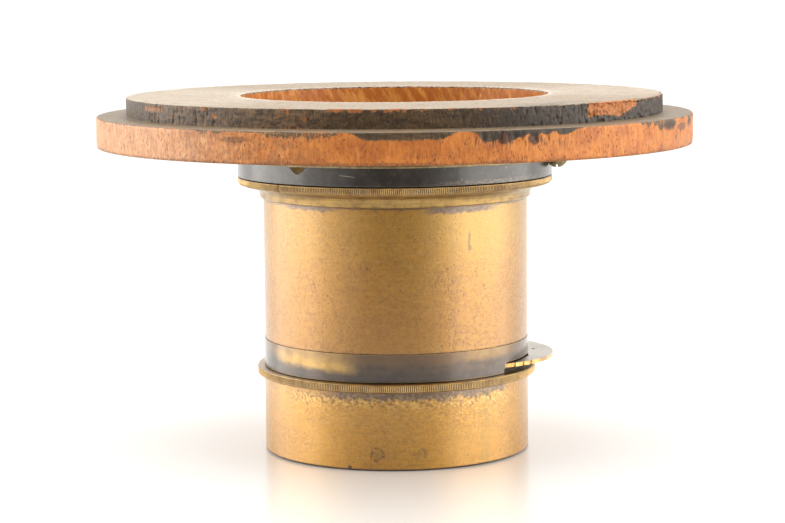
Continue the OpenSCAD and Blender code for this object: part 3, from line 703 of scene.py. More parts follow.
# ------------------------------------------------------------------ the board
def board_wood():
    """Mahogany, bare on the hole's wall and most of the rim; dark stain on the rest. The mesh carries how much
    stain, wear and dirt each point has; noise here gives those their ragged edges."""
    m = Mat("mahogany_board", Coat_Weight=0.05, Coat_Roughness=0.35, Specular_IOR_Level=0.34)
    paint, worn, dirt = m.attr("paint"), m.attr("worn"), m.attr("dirt")
    salmon, bore = m.attr("salmon"), m.attr("bore")
    flat = m.attr("flat")
    # wood: upright fibre on the turned faces, long figure across the plank
    figure = m.noise(9.0, 4, 0.6, 0.6, at=(0.5, 2.2, 1.0))
    fibre = m.noise(1.1, 4, 0.7, 0.2, at=(1.0, 1.0, 0.28))
    grain = m.noise(0.55, 3, 0.65, 0.0, at=(1.0, 1.0, 0.35), w=2.0)
    wood = m.mix(m.step(figure, 0.36, 0.64), lin(196, 119, 50), lin(168, 94, 38))
    wood = m.mix(m.mul(m.step(fibre, 0.46, 0.72), 0.42), wood, lin(222, 150, 76))
    wood = m.mix(m.mul(m.step(fibre, 0.50, 0.28), 0.50), wood, lin(142, 68, 30))
    wood = m.mix(m.mul(salmon, 0.50), wood, m.mix(m.step(fibre, 0.4, 0.68), lin(190, 120, 64), lin(222, 164, 104)))
    pores = m.step(m.add(m.cells(0.80, at=(1.25, 1.25, 0.45)), m.mul(grain, 0.34)), 0.52, 0.30)
    dense = m.step(m.add(m.noise(7.0, 3, 0.6, w=6.0), m.mul(salmon, 0.34)), 0.38, 0.60)
    # the pores stand thicker along the lower half of the rim
    dense = m.max(dense, m.mul(m.step(m.z, z_board + 5.0, z_board + 1.6), m.step(m.noise(3.0, 3, 0.6, w=1.9), 0.34, 0.52)))
    pores = m.mul(pores, m.sub(1.0, m.mul(flat, 0.8)))
    pores = m.mul(m.mul(pores, dense), m.sub(1.0, m.mul(bore, 0.6)))
    wood = m.mix(m.mul(pores, 0.72), wood, lin(84, 42, 22))
    # paler round the left side of the rim: a painted sheen, partly dust; smudged just in front of that
    film = m.mul(m.mul(m.step(m.phi, -100.0, -88.0), m.step(m.phi, -24.0, -44.0)), m.sub(1.0, bore))
    wood = m.mix(m.mul(film, m.remap(fibre, 0.3, 0.7, 0.16, 0.36)), wood, lin(220, 194, 166))
    smudge = m.mul(m.mul(m.step(m.phi, -47.0, -36.0), m.step(m.phi, -6.0, -18.0)), m.step(m.noise(4.5, 5, 0.7, w=3.3, at=(0.8, 0.8, 1.3)), 0.40, 0.62))
    wood = m.mix(m.mul(smudge, 0.50), wood, lin(138, 88, 54))
    scuffs = m.mul(m.step(m.phi, 52.0, 62.0), m.step(m.noise(2.6, 5, 0.74, w=6.1, at=(1.0, 1.0, 0.7)), 0.48, 0.60))
    wood = m.mix(m.mul(m.mul(scuffs, m.step(m.phi, 104.0, 92.0)), 0.55), wood, lin(150, 112, 84))
    # the hole's wall: varnished, redder, with paler slanting streaks
    lean = m.t.nodes.new("ShaderNodeMapping")
    lean.inputs["Rotation"].default_value = (0.0, 0.55, 0.0)
    m.t.links.new(m.p, lean.inputs[0])
    slant = m.t.nodes.new("ShaderNodeTexNoise")
    m.t.links.new(m.scaled((1.0, 1.0, 0.16), lean.outputs[0]), slant.inputs["Vector"])
    slant.inputs["Scale"].default_value = 1 / 2.6
    slant.inputs["Detail"].default_value = 4
    slant.inputs["Roughness"].default_value = 0.65
    wall = m.mix(m.step(slant.outputs["Fac"], 0.42, 0.66), lin(182, 104, 40), lin(220, 150, 72))
    wall = m.mix(m.mul(m.step(fibre, 0.52, 0.30), 0.45), wall, lin(150, 74, 32))
    wood = m.mix(bore, wood, wall)
    # stain: brown-black, dusty, brushed
    brush = m.noise(2.6, 5, 0.72, 0.2, at=(0.5, 0.5, 1.6), w=3.0)
    black = m.mix(m.step(brush, 0.38, 0.66), lin(68, 52, 36), lin(96, 75, 50))
    # blacker at the front right
    black = m.mix(m.mul(m.mul(m.step(m.phi, 10.0, 24.0), m.step(m.phi, 100.0, 84.0)), m.mul(m.sub(1.0, flat), 0.70)), black, lin(34, 27, 19))
    black = m.mix(m.mul(m.mul(m.step(m.phi, -6.0, -22.0), m.step(m.phi, -64.0, -50.0)), m.mul(m.step(brush, 0.38, 0.62), 0.50)), black, lin(142, 112, 82))
    black = m.mix(m.mul(m.step(fibre, 0.52, 0.38), 0.45), black, lin(44, 33, 25))
    black = m.mix(m.mul(m.step(m.noise(1.6, 4, 0.7, w=8.0), 0.54, 0.72), 0.45), black, lin(128, 106, 80))
    hollows = m.mul(m.step(m.noise(0.9, 3, 0.7, at=(1.2, 1.2, 0.35), w=7.1), 0.56, 0.66), m.sub(1.0, flat))
    black = m.mix(m.mul(hollows, 0.60), black, lin(32, 24, 18))
    # the level faces are painted paler, in fine streaks: a painted sheen for the glare off them, partly dust and
    # rubbing
    dust_and_glare = m.noise(1.3, 5, 0.75, 0.1, at=(0.16, 1.6, 1.0), w=6.5)
    pale = m.mix(m.step(dust_and_glare, 0.36, 0.66), lin(126, 108, 84), lin(176, 154, 124))
    pale = m.mix(m.mul(m.step(m.noise(0.7, 4, 0.7, w=4.6), 0.56, 0.68), 0.5), pale, lin(82, 64, 48))
    topmost = m.step(m.z, z_step + 0.6, z_step + 2.0)
    black = m.mix(m.mul(flat, m.mad(topmost, 0.36, 0.46)), black, pale)
    patchy = m.mul(m.mul(m.step(m.phi, 20.0, 30.0), m.step(m.phi, 52.0, 40.0)), m.step(m.noise(5.0, 4, 0.65, w=2.7), 0.36, 0.54))
    rr = m.f("SQRT", m.add(m.mul(m.x, m.x), m.mul(m.y, m.y)))
    black = m.mix(m.mul(m.mul(m.mul(patchy, topmost), m.step(rr, step_r - 18.0, step_r - 5.0)), m.mul(flat, 0.85)), black, lin(92, 76, 54))
    streaks = m.step(m.noise(0.8, 4, 0.78, 0.1, at=(0.14, 2.2, 1.0), w=3.5), 0.50, 0.66)
    black = m.mix(m.mul(m.mul(streaks, flat), 0.46), black, lin(104, 86, 66))
    motes = m.step(m.noise(0.65, 4, 0.8, at=(0.45, 1.7, 1.0), w=11.5), 0.53, 0.64)
    black = m.mix(m.mul(m.mul(motes, flat), 0.62), black, lin(88, 70, 52))
    # painted glare: the top is painted near white towards its sides and back
    aside_glare = m.max(m.mul(m.step(m.phi, -30.0, -60.0), m.step(m.phi, -140.0, -110.0)), m.mul(m.step(m.phi, 60.0, 84.0), m.step(m.phi, 140.0, 112.0)))
    black = m.mix(m.mul(m.mul(aside_glare, topmost), m.mul(flat, m.remap(dust_and_glare, 0.36, 0.62, 0.04, 0.30))), black, lin(232, 222, 206))
    # the lip round the hole is painted almost white, a painted highlight that is partly scuffs, and it thins out across
    # the top
    near_hole = m.mul(m.step(rr, hole_r + 9.0, hole_r + 0.6), topmost)
    white_scuff_highlight = m.step(m.noise(0.7, 4, 0.78, at=(0.5, 1.5, 1.0), w=13.5), 0.50, 0.62)
    black = m.mix(m.mul(m.mul(white_scuff_highlight, flat), m.mul(topmost, m.mad(near_hole, 0.55, 0.34))), black, lin(226, 218, 204))
    edge_noise = m.noise(1.3, 6, 0.78, w=4.0, at=(0.7, 0.7, 1.3))
    upright = m.noise(1.2, 6, 0.78, w=4.7, at=(1.5, 1.5, 0.45))
    rag = m.mad(m.sub(upright, 0.5), 2.4, m.mul(m.sub(edge_noise, 0.5), 1.2))
    on = m.step(m.add(m.sub(paint, worn), rag), 0.38, 0.62)
    # the wood that shows where stain wore off is dirty, not clean
    soiled = m.mix(m.mul(m.step(worn, 0.05, 0.4), m.mad(m.step(m.phi, 38.0, 42.0), -0.26, 0.42)), wood, lin(122, 78, 46))
    c = m.mix(on, soiled, black)
    # where the stain is thin it goes grey-olive, and the wood shows through in specks
    thin = m.mul(m.step(paint, 0.98, 0.55), on)
    c = m.mix(m.mul(thin, 0.35), c, lin(112, 92, 62))
    spk = m.mul(m.step(m.noise(0.8, 3, 0.65, w=9.0), 0.64, 0.72), m.mul(on, 0.40))
    c = m.mix(spk, c, lin(150, 98, 62))
    broken = m.mul(m.step(m.noise(0.9, 4, 0.75, w=5.8), 0.50, 0.62), m.mul(m.sub(1.0, on), m.step(worn, 0.1, 0.5)))
    c = m.mix(m.mul(broken, 0.5), c, lin(84, 58, 38))
    # the very lip of the hole, painted pale: a painted highlight, partly rubbing
    lip = m.mul(m.step(rr, hole_r + 2.6, hole_r + 0.9), m.step(m.z, z_top - 0.8, z_top - 0.3))
    c = m.mix(m.mul(m.mul(lip, m.step(m.noise(1.0, 4, 0.75, w=15.1), 0.44, 0.58)), 0.48), c, lin(226, 218, 204))
    grub = m.step(m.add(dirt, rag), 0.40, 0.95)
    c = m.mix(m.mul(grub, 0.66), c, m.mix(m.step(fibre, 0.4, 0.6), lin(126, 78, 48), lin(82, 50, 34)))
    # charred upright cracks run down from the ledge at the right of the front
    char = m.step(m.noise(1.0, 4, 0.7, at=(1.3, 1.3, 0.26), w=9.9), 0.50, 0.59)
    char = m.mul(m.mul(char, m.mul(m.step(m.phi, 10.5, 14.0), m.step(m.phi, 36.0, 31.0))), m.step(m.z, z_step - 7.0, z_step - 3.2))
    char = m.mul(m.mul(char, m.step(m.z, z_step + 0.2, z_step - 0.1)), m.sub(1.0, flat))
    c = m.mix(m.mul(char, 0.75), c, lin(44, 31, 22))
    # the deepest of the burns, and a smudge at the left
    for phi, z, wp, wz, deep in ((19.1, z_step - 2.5, 1.9, 1.9, 0.86), (24.6, z_step - 3.0, 1.1, 1.9, 0.82), (22.0, z_step - 1.6, 1.2, 1.0, 0.7), (15.6, z_step - 2.0, 0.5, 2.2, 0.7),
                                 (60.7, z_step - 2.2, 2.4, 1.6, 0.74), (67.5, z_step - 3.2, 2.6, 1.3, 0.6), (74.0, z_step - 2.6, 2.8, 1.2, 0.5), (-28.8, z_step - 2.9, 3.2, 0.9, 0.5)):
        spot = m.window(phi, wp, z, wz, 2.6, upright)
        spot = m.mul(m.mul(spot, m.step(m.z, z_step + 0.2, z_step - 0.1)), m.sub(1.0, flat))
        c = m.mix(m.mul(spot, deep), c, lin(40, 30, 26))
    # handled edges: stain rubbed off them in broken lines
    c = m.mix(m.mul(m.mul(m.edge(0.5, 0.05, 0.35), m.step(edge_noise, 0.50, 0.62)), 0.55), c, lin(196, 138, 88))
    r = m.mad(m.sub(brush, 0.5), 0.24, 0.50)
    r = m.mad(on, -0.04, r)
    r = m.mad(bore, -0.12, r)
    h = m.add(m.mul(fibre, 0.8), m.mul(on, 0.35))
    h = m.sub(h, m.mul(pores, 1.1))
    h = m.mad(edge_noise, 0.5, h)
    return m.done(c, r, m.bump(h, 0.16, 0.85), 0.0)


WOOD = board_wood()


def board_shape(prof_zone):
    def shape(r, z, phi, p):
        zone = np.repeat(prof_zone[:, None], r.shape[1], 1)
        under, rim = zone == 0, zone == 1
        ledge, tier, top, bore = zone == 2, zone == 3, zone == 4, zone == 5
        depth = z_step - z                     # below the ledge, on the rim
        down = z_top - z                       # below the top, on the tier
        rough = fbm(p, 2.2, 4, 11)
        lump = fbm(p, (7, 7, 3), 4, 23)
        slow = fbm(p, 22, 3, 31)
        # how far the paint runs down the rim from the ledge
        reach = 0.35 + 0.7 * (slow - 0.5) + 1.2 * (lump - 0.5)
        reach = reach + 2.2 * span(phi, -6.5, 9.5, 2.0) + 1.7 * span(phi, -36, -9, 3) * sstep(lump, 0.40, 0.58) - 0.9 * span(phi, 36, 50, 1.5) + 2.4 * span(phi, 56, 82, 3) * sstep(lump, 0.42, 0.60) + 1.2 * (np.abs(phi) > 100) * sstep(slow, 0.42, 0.6)
        for c, w, a in ((16.6, 1.9, 3.2), (15.0, 0.6, 1.0), (20.9, 1.1, 3.0), (22.6, 0.8, 1.4), (24.8, 1.2, 1.9), (27.2, 0.9, 1.6), (31, 2.4, 2.0),
                        (37, 0.6, 0.8), (50.5, 0.7, 1.2), (52.5, 0.9, 2.2), (54.6, 0.6, 1.3), (57, 0.8, 2.4), (60, 0.7, 1.2), (-70, 1.0, 0.8),
                        (110, 10, 1.5), (150, 8, 2.0), (-120, 9, 1.8), (-160, 7, 1.2)):
            reach = reach + a * hump(phi, c, w)
        solid = np.clip(0.60 + 0.55 * span(phi, -7, 34, 2) + 0.3 * (np.abs(phi) > 95), 0, 1)
        paint = np.where(rim, solid * sstep(reach - depth, -0.8, 0.8), 0.0)
        paint = np.where(ledge | tier | top, 1.0, paint)
        paint = np.where(under, 0.15, paint)
        paint = np.where(bore, 0.75 * sstep(z, z_top - 0.9, z_top - 0.1), paint)
        spot = hump(phi, 64, 1.0) * np.exp(-((z - 109.2) / 1.0) ** 2)
        paint = np.maximum(paint, np.where(rim, 0.6 * spot, 0))
        # where the paint is knocked off the tier and the edges
        worn = np.zeros_like(r)
        patch = span(phi, 42, 60, 1.6) * sstep(4.4 + 2.6 * (lump - 0.5) - 3.0 * sstep(phi, 52, 62) - down, -0.8, 0.8)
        worn = np.maximum(worn, patch * (0.55 + 0.6 * rough))
        worn = np.maximum(worn, span(phi, -63, -55, 1.0) * np.exp(-((down - 2.0) / 1.2) ** 2) * 0.75)
        worn = np.maximum(worn, hump(phi, -41, 1.0) * np.exp(-((down - 0.9) / 0.7) ** 2) * 0.9)
        worn = np.maximum(worn, hump(phi, -38.2, 1.1) * np.exp(-((down - 3.1) / 0.8) ** 2) * 0.9)
        worn = np.maximum(worn, span(phi, -24, -16, 1.5) * (0.20 + 0.36 * sstep(rough, 0.5, 0.7)))
        worn = np.maximum(worn, (span(phi, -13, 4, 2) * (0.25 + 0.85 * sstep(rough, 0.46, 0.58)) + span(phi, 4, 26, 2) * 0.45 * sstep(rough, 0.44, 0.6)) * np.exp(-((down - 0.4) / 0.8) ** 2))
        worn = np.maximum(worn, span(phi, 62, 92, 2) * np.exp(-((down - 0.4) / 0.7) ** 2) * 0.38)
        for c, w in ((120, 6), (-130, 5), (165, 4), (-100, 4)):
            worn = np.maximum(worn, hump(phi, c, w) * np.exp(-((down - 1.0) / 1.6) ** 2) * (0.4 + 0.6 * rough))
        worn = np.where(tier | (top & (r > step_r - 2.0)), worn, 0.0)
        # bare flecks along the ledge's rim, and specks over the top
        worn = np.where(ledge, 0.55 * sstep(r, board_r - 2.2, board_r - 0.6) * sstep(lump, 0.42, 0.66), worn)
        worn = np.where(top & (r <= step_r - 2.0), 0.34 * sstep(fbm(p, (9, 2.2, 4), 4, 57), 0.46, 0.66), worn)
        worn = np.where(top & (r < hole_r + 1.6), np.maximum(worn, 0.3 * sstep(lump, 0.5, 0.7)), worn)
        # dirt: the bottom arris, and the underside, most of all round the flange
        up = z - z_board
        dirt = np.where(rim, 0.85 * sstep(1.2 + 2.0 * (lump - 0.5) - up, -0.7, 1.0), 0.0)
        dirt = np.where(under, 0.45 + 0.5 * (slow - 0.5) + 0.5 * sstep(r, board_r - 3, board_r), dirt)
        dirt = np.where(under & (r < 66), 0.7, dirt)
        salmon = np.where(rim, np.clip(span(phi, -95, -18, 8) + 0.5 * sstep(slow, 0.5, 0.62) * (np.abs(phi) > 80), 0, 1) * (0.55 + 0.7 * sstep(lump, 0.4, 0.6)), 0.0)
        # the surface itself: hand-turned wood with open pores, broken edges and a paint film
        pore = fbm(p, (0.9, 0.9, 2.4), 2, 71)
        pits = sstep(pore, 0.62, 0.74)
        n_side = np.where(rim | tier, 1.0, 0.0)
        n_in = np.where(bore, 1.0, 0.0)
        n_up = np.where(ledge | top, 1.0, 0.0)
        n_dn = np.where(under, 1.0, 0.0)
        relief = 0.10 * (rough - 0.5) + 0.10 * (lump - 0.5) - 0.10 * pits
        gouge = np.zeros_like(r)
        for c, w, zc, zw, a in ((16.6, 1.2, 112.6, 1.8, 0.55), (18.2, 0.5, 113.0, 1.6, 0.45), (15.2, 0.45, 113.2, 1.2, 0.4), (20.9, 0.7, 112.9, 1.5, 0.5),
                                (24.8, 0.5, 112.6, 1.0, 0.35), (27.2, 0.45, 112.4, 0.9, 0.35), (52.5, 0.5, 110.6, 1.3, 0.35), (57.0, 0.4, 112.2, 1.4, 0.3),
                                (2.4, 0.4, 107.7, 0.6, 0.3), (3.6, 0.4, 107.6, 0.5, 0.3), (64, 0.6, 109.2, 0.8, 0.25), (-66, 0.5, 112.5, 0.8, 0.3),
                                (58.6, 0.35, 111.2, 1.6, 0.3), (60.4, 0.3, 112.4, 1.5, 0.3), (62.2, 0.4, 111.6, 1.3, 0.3), (54.4, 0.3, 112.8, 1.2, 0.3)):
            gouge = gouge + np.where(rim, a * hump(phi, c, w) * np.exp(-((z - zc) / zw) ** 2) * (0.6 + 0.8 * rough), 0)
        rip = np.where(tier, 0.42 * patch * sstep(rough, 0.42, 0.6) + 0.16 * span(phi, 26, 62, 3) * sstep(pore, 0.5, 0.7), 0)
        torn = span(phi, 40, 96, 4)
        rip = rip + np.where(tier, torn * (0.30 * sstep(fbm(p, (1.6, 1.6, 2.6), 3, 121), 0.46, 0.62) + 0.22 * sstep(fbm(p, (0.7, 0.7, 1.8), 2, 131), 0.5, 0.68)), 0)
        rip = rip + np.where(tier, 0.30 * span(phi, -62, -37, 2) * sstep(fbm(p, (0.8, 0.8, 3.0), 2, 83), 0.54, 0.7) * sstep(down, 0.2, 1.2), 0)
        crack = np.where(tier, 0.25 * hump(phi, 0.1, 0.12) * sstep(down, 0.3, 1.0), 0)
        arris = np.where(tier | top, np.exp(-((r - step_r) ** 2 + (z - z_top) ** 2) / 0.8), 0)
        chip = arris * (0.10 + 0.85 * span(phi, 56, 95, 3) + 0.30 * span(phi, 26, 58, 3)) * sstep(fbm(p, 1.6, 3, 91), 0.40, 0.62)
        film = 0.05 * sstep(paint - worn + 0.5 * (rough - 0.5), 0.4, 0.6)
        nick = 0.16 * sstep(fbm(p, (5, 5, 5), 3, 97), 0.60, 0.72) * np.where(rim, np.exp(-(up / 0.9) ** 2) + np.exp(-(depth / 0.9) ** 2), 0)
        d = relief + film - 0.12 - gouge - rip - crack - nick
        d = np.minimum(d, 0.0)
        dr = n_side * d - n_in * np.minimum(relief, 0.05) - chip * 0.7
        dz = (n_up * d * 0.7 - n_dn * np.minimum(relief, 0) * 0.4) - chip * 0.7
        # long shallow ridges across the top, as planed
        ridge = np.minimum(0.10 * (fbm(p, (30, 1.6, 9), 3, 101) - 0.62), 0)
        dz = dz + np.where(top, ridge, 0)
        r_new = r + dr
        dr = np.where(r_new > board_r, board_r - r, dr)
        dz = np.where(z + dz > z_top, z_top - z, dz)
        return dr, dz, {"paint": paint, "worn": worn, "dirt": dirt, "salmon": salmon, "bore": bore.astype(float), "flat": n_up}
    return shape


bp, bz = outline([(hole_r, z_board, 0.4, 3.0), (board_r, z_board, 0.75, 0.36), (board_r, z_step, 1.0, 0.7),
                  (step_r, z_step, 0.15, 0.34), (step_r, z_top, 0.5, 0.95), (hole_r, z_top, 0.35, 0.7)])
board = lathe("lens_board_worn", bp, 1800, WOOD, board_shape(bz))
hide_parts("lens_board")
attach(board, "board")


# ------------------------------------------------------------------ knurled pieces
def knurl(teeth_count, z0, z1, r_min, depth, nick=None):
    def shape(r, z, phi, p):
        inside = sstep(z, z0 - 0.05, z0 + 0.15) * (1 - sstep(z, z1 - 0.15, z1 + 0.05)) * sstep(r, r_min - 0.3, r_min)
        t = (phi + 180) / 360 * teeth_count
        t = t - np.floor(t)
        wave = 1 - np.abs(2 * t - 1)              # 0 at a root, 1 at a crest
        crest = sstep(wave, 0.05, 0.85)
        worn = 0.55 + 0.45 * sstep(fbm(p, 9, 3, 5), 0.32, 0.55)
        dr = -inside * depth * (1 - crest) * worn
        small = np.minimum(0.05 * (fbm(p, 1.3, 3, 41) - 0.56), 0)
        dr = dr + (1 - inside) * small
        if nick is not None:
            dr = dr - sstep(r, r_min - 1.5, r_min) * 0.45 * hump(phi, nick, 0.55)
        return dr, np.zeros_like(r), {"teeth": inside, "crest": crest}
    return shape


# rear collar: turned neck, bevel, knurled rim, and the male thread that holds the flange
thread = []
zt = z_rim_top + 0.25
while zt + 0.6 < z_tube_end - 0.3:
    thread += [(thread_r - 0.02, zt, 0.06, 0.6), (thread_r - 0.42, zt + 0.3, 0.06, 0.6)]
    zt += 0.6
neck = [(tube_r + 0.03, z_neck, 0, 1.5), (tube_r + 0.7, z_neck, 0.12, 0.25), (tube_r + 1.1, z_neck + 0.4, 0.12, 0.3), (tube_r + 1.2, z_neck + 1.2, 0.2, 0.3),
        (tube_r + 1.35, z_neck + 2.2, 0.3, 0.3), (tube_r + 1.9, z_neck + 3.1, 0.3, 0.3), (tube_r + 3.2, z_neck + 3.8, 0.3, 0.5),
        (collar_r - 1.5, z_neck + 4.5, 0.3, 0.5), (collar_r - 0.55, z_neck + 4.85, 0.12, 0.3), (collar_r, z_neck + 5.6, 0.1, 0.2), (collar_r, z_rim_top - 0.15, 0.08, 0.2),
        (collar_r - 0.25, z_rim_top, 0.08, 0.5), (thread_r, z_rim_top, 0, 0.5)] + thread + [(thread_r - 0.3, z_tube_end, 0.1, 1.5), (tube_r + 0.03, z_tube_end, 0, 2.0)]
cp, cz = outline(neck)
collar = lathe("rear_collar_knurled", cp, 538 * 6, KNURL, knurl(538, z_neck + 5.05, z_rim_top - 0.35, collar_r - 0.75, 0.24, nick=-45.5))
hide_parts("rear_collar")
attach(collar, "barrel")

ring = [(ring_in, z_skirt, 0, 0.8), (hood_in - 0.03, z_skirt, 0.2, 0.8), (hood_in - 0.03, z_ring, 0, 0.6), (ring_r - 0.4, z_ring, 0.15, 0.25),
        (ring_r, z_ring + 0.4, 0.15, 0.22), (ring_r, z_ring_top - 0.35, 0.12, 0.2), (ring_r - 0.3, z_ring_top, 0.12, 0.6), (ring_in, z_ring_top, 0, 0.9)]
rp, rzn = outline(ring)
front = lathe("front_ring_knurled", rp, 478 * 6, KNURL, knurl(478, z_ring + 0.42, z_ring_top - 0.36, ring_r - 0.3, 0.24))
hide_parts("front_ring")
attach(front, "hood")


# ------------------------------------------------------------------ flange: hub and plate, with the tapered cuts and holes for its screws
_r, _z = rz("flange")
bore_r, plate_r = float(_r.min()), float(_r.max())
z_plate = float(_z[_r > plate_r - 0.6].min())
hub_r = float(_r[_z < z_hub + 0.5].max())
_co = np.array([v.co for v in nodes["flange_screws"].data.vertices], float) / MM
_ph = np.degrees(np.arctan2(_co[:, 0], -_co[:, 1]))
_low = _co[:, 2] < z_plate - 0.1
screw_phi = [float(_ph[_low & (np.abs(_ph - c) < 10)].mean()) for c in (75, -162)]
screw_pitch = float(np.hypot(*_co[_low & (np.abs(_ph - 75) < 10)][:, :2].mean(0)))
print("flange", round(bore_r, 2), round(plate_r, 2), round(z_plate, 2), round(hub_r, 2), screw_phi, round(screw_pitch, 2))


def flange_shape(r, z, phi, p):
    dr, dz = np.zeros_like(r), np.zeros_like(r)
    small = np.minimum(0.05 * (fbm(p, 2.0, 3, 61) - 0.55), 0)
    wall = (np.abs(r - hub_r) < 0.4) & (z < z_plate + 0.01)
    dr = dr + np.where(wall, small, 0)
    hole = np.zeros_like(r)
    for centre in [-36.0] + screw_phi:
        off = np.radians((phi - centre + 180) % 360 - 180)
        cone = 0.6 + 4.3 * np.clip((z - (z_plate - 6)) / 6, 0, 1)
        across = screw_pitch * np.abs(np.sin(off))
        inside = wall & (cone > across) & (np.abs(off) < 0.3)
        reach = screw_pitch * np.cos(off) - np.sqrt(np.maximum(cone ** 2 - across ** 2, 0))
        dr = np.where(inside, np.minimum(dr, reach - r), dr)
        # the screw hole in the plate
        away = np.hypot(r * np.sin(off), r * np.cos(off) - screw_pitch)
        pit = (r > hub_r + 0.2) & (z < z_plate + 0.2) & (away < 1.95) & (np.abs(off) < 0.3)
        dz = np.where(pit, z_board - 0.3 - z, dz)
        hole = np.where(pit | (away < 2.3) & (r > hub_r + 0.2) & (np.abs(off) < 0.3), 1.0, hole)
    return dr, dz, {"hole": hole}


female = []
zt = z_flange_top - 0.6
while zt - 0.6 > z_hub + 0.3:
    female += [(bore_r, zt, 0.06, 0.6), (bore_r + 0.38, zt - 0.3, 0.06, 0.6)]
    zt -= 0.6
fp, _ = outline([(bore_r, z_hub + 0.25, 0.1, 0.6), (bore_r + 0.3, z_hub, 0.08, 0.8), (hub_r, z_hub, 0.2, 0.2), (hub_r, z_plate, 0.0, 0.3), (plate_r, z_plate, 0.4, 0.5),
                 (plate_r, z_flange_top, 0.1, 1.5), (bore_r, z_flange_top, 0.0, 0.6)] + female)
flange = lathe("flange_turned", fp, 1440, FLANGE, flange_shape)
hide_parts("flange")
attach(flange, "board")


# ------------------------------------------------------------------ plain tubes, finely meshed with their small dents and pits
def tube_shape(seed, dents, outer):
    def shape(r, z, phi, p):
        out = sstep(r, outer - 0.4, outer - 0.1)
        d = np.zeros_like(r)
        for c, w, zc, zw, a in dents:
            d = d + a * hump(phi, c, w) * np.exp(-((z - zc) / zw) ** 2)
        pit = sstep(fbm(p, 1.5, 2, seed), 0.73, 0.86) * 0.05
        wave = 0.03 * (fbm(p, 28, 2, seed + 3) - 0.5) - 0.015
        return out * (np.minimum(wave, 0) - d - pit), np.zeros_like(r), {}
    return shape


tp, _ = outline([(tube_in, z_tube0, 0.1, 2.0), (tube_r, z_tube0, 0.12, 0.6), (tube_r, z_tube_end, 0.12, 0.8), (tube_in, z_tube_end, 0.1, 3.0)])
tube = lathe("barrel_tube_turned", tp, 720, BARREL, tube_shape(3, ((-18, 4, 62, 5, 0.05), (34, 3, 52, 3, 0.06), (8, 2.0, 71, 1.6, 0.04), (-52, 3, 48, 4, 0.05), (130, 6, 60, 6, 0.08)), tube_r))
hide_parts("barrel_tube")
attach(tube, "barrel")

hp, _ = outline([(hood_in, 0.3, 0.1, 0.5), (hood_in + 0.3, 0.0, 0.12, 0.4), (hood_r - 0.4, 0.0, 0.14, 0.4), (hood_r, 0.4, 0.14, 0.5),
                 (hood_r, z_hood_top, 0.1, 0.5), (hood_in, z_hood_top, 0.08, 1.5)])
hood = lathe("hood_tube_turned", hp, 720, HOOD, tube_shape(7, ((-40, 3, 14, 3, 0.07), (22, 3, 10, 3, 0.05), (36, 1.2, 18, 5, 0.05), (-160, 5, 12, 4, 0.1)), hood_r))
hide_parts("hood_tube")
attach(hood, "hood")


# ------------------------------------------------------------------ materials for the CAD nodes that stay
def dress(node, mat):
    me = nodes[node].data
    me.materials.clear()
    me.materials.append(mat)


GREEN, SCREW, WHEEL, STEEL, BLACK = green_brass(), screw_brass(), wheel_brass(), spring_steel(), inside_black()
FLINT, CROWN = glass("glass_flint", 1.62, (226, 236, 226)), glass("glass_crown", 1.52, (236, 244, 240))
for n, mt in (("flange", FLANGE), ("flange_screws", GREEN), ("stop_band", BAND), ("stop_plate", BLACK), ("stop_plate_screws", SCREW),
              ("pivot_bush", SCREW), ("wheel_pivot", SCREW), ("click_spring_screw", SCREW), ("stop_wheel", WHEEL), ("pivot_washer", STEEL),
              ("click_spring", STEEL), ("click_nose", STEEL), ("rear_cell", CELL), ("retaining_ring", CELL), ("flint_glass", FLINT), ("crown_glass", CROWN),
              ("lens_board", WOOD), ("rear_collar", KNURL), ("front_ring", KNURL), ("barrel_tube", BARREL), ("hood_tube", HOOD)):
    dress(n, mt)


# ------------------------------------------------------------------ stage, light, camera
def floor_material():
    """Pale satin paper: at a low angle it gives back a soft reflection of what stands on it."""
    m = Mat("floor_paper", Specular_IOR_Level=0.42)
    n = m.noise(220, 3, 0.5)
    c = m.mix(n, lin(219, 218, 214), lin(224, 223, 220))
    return m.done(c, m.remap(n, 0.3, 0.7, 0.20, 0.24), None, 0.0)


def flag_material():
    m = Mat("black_flag")
    n = m.noise(90, 3, 0.5)
    return m.done(m.mix(n, lin(44, 43, 42), lin(54, 52, 50)), m.remap(n, 0.3, 0.7, 0.55, 0.65), None, 0.0)


def sheet(name, corners, mat):
    me = bpy.data.meshes.new(name)
    me.from_pydata(corners, [], [tuple(range(len(corners)))])
    me.materials.append(mat)
    o = bpy.data.objects.new(name, me)
    scene.collection.objects.link(o)
    return o


sheet("floor", [(-6, -6, -0.0002), (6, -6, -0.0002), (6, 6, -0.0002), (-6, 6, -0.0002)], floor_material())
# a black flag lies on the floor in front, out of view: it keeps the middle of the polished metal dark. It is hidden
# from the camera, from shadows and from diffuse light, so it only shows as a painted dark reflection
flag = sheet("flag", [(-0.80, -1.6, 0.001), (0.62, -1.6, 0.001), (0.16, -0.34, 0.001), (-0.22, -0.34, 0.001)], flag_material())
flag.visible_camera = flag.visible_shadow = flag.visible_diffuse = flag.visible_transmission = False

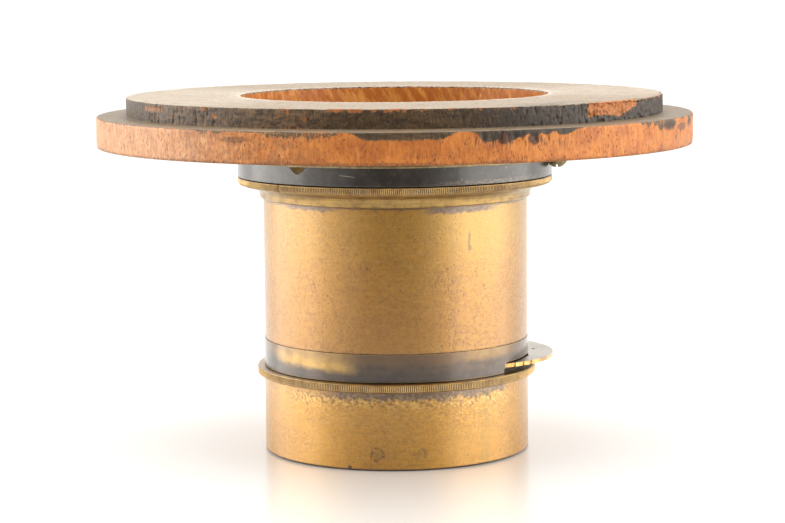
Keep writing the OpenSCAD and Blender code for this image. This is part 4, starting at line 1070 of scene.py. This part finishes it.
world = bpy.data.worlds.new("soft_tent")
scene.world = world
world.use_nodes = True
wt = world.node_tree
wt.nodes.clear()
wo = wt.nodes.new("ShaderNodeOutputWorld")
wb = wt.nodes.new("ShaderNodeBackground")
wc = wt.nodes.new("ShaderNodeTexCoord")
ws = wt.nodes.new("ShaderNodeSeparateXYZ")
wr = wt.nodes.new("ShaderNodeMapRange")
wr.interpolation_type = "SMOOTHSTEP"
wt.links.new(wc.outputs["Generated"], ws.inputs[0])
wt.links.new(ws.outputs[1], wr.inputs["Value"])
wr.inputs["From Min"].default_value = -0.90
wr.inputs["From Max"].default_value = -0.45
wr.inputs["To Min"].default_value = 0.18
wr.inputs["To Max"].default_value = 1.35
wb.inputs[0].default_value = (1.0, 0.99, 0.97, 1)
wt.links.new(wr.outputs[0], wb.inputs[1])
wt.links.new(wb.outputs[0], wo.inputs[0])


def area(name, azimuth, distance, height, look_z, size, radiance, colour=(1, 0.985, 0.96)):
    """A soft box that stands round the object at an azimuth (degrees from the viewer, towards +X)."""
    a = math.radians(azimuth)
    loc = Vector((distance * math.sin(a), -distance * math.cos(a), height))
    light = bpy.data.lights.new(name, "AREA")
    light.shape = "RECTANGLE"
    light.size, light.size_y = size
    light.energy = radiance * math.pi * size[0] * size[1]
    light.color = colour
    o = bpy.data.objects.new(name, light)
    o.location = loc
    o.rotation_euler = (Vector((0, 0, look_z)) - loc).to_track_quat("-Z", "Y").to_euler()
    scene.collection.objects.link(o)
    return o


area("top_box", 0, 0.1, 1.1, 0.0, (1.3, 1.3), 1.6)
area("left_box", -96, 0.9, 0.30, 0.12, (1.0, 0.58), 3.25)
area("right_box", 79, 0.9, 0.30, 0.12, (1.15, 0.58), 3.25)

PITCH, ROLL = 0.1226573, -0.0086154
cam = bpy.data.cameras.new("camera")
cam.sensor_width = 36.0
cam.lens = 2341.55 / 785 * 36.0
cam.clip_start, cam.clip_end = 0.01, 50
co = bpy.data.objects.new("camera", cam)
aim = Matrix(((1, 0, 0), (0, math.sin(PITCH), -math.cos(PITCH)), (0, math.cos(PITCH), math.sin(PITCH)))).to_4x4()
co.matrix_world = Matrix.Translation((-0.0010898, -0.802604, 0.162874)) @ aim @ Matrix.Rotation(ROLL, 4, "Z")
scene.collection.objects.link(co)
scene.camera = co
scene.view_settings.view_transform = "Standard"
scene.view_settings.look = "None"
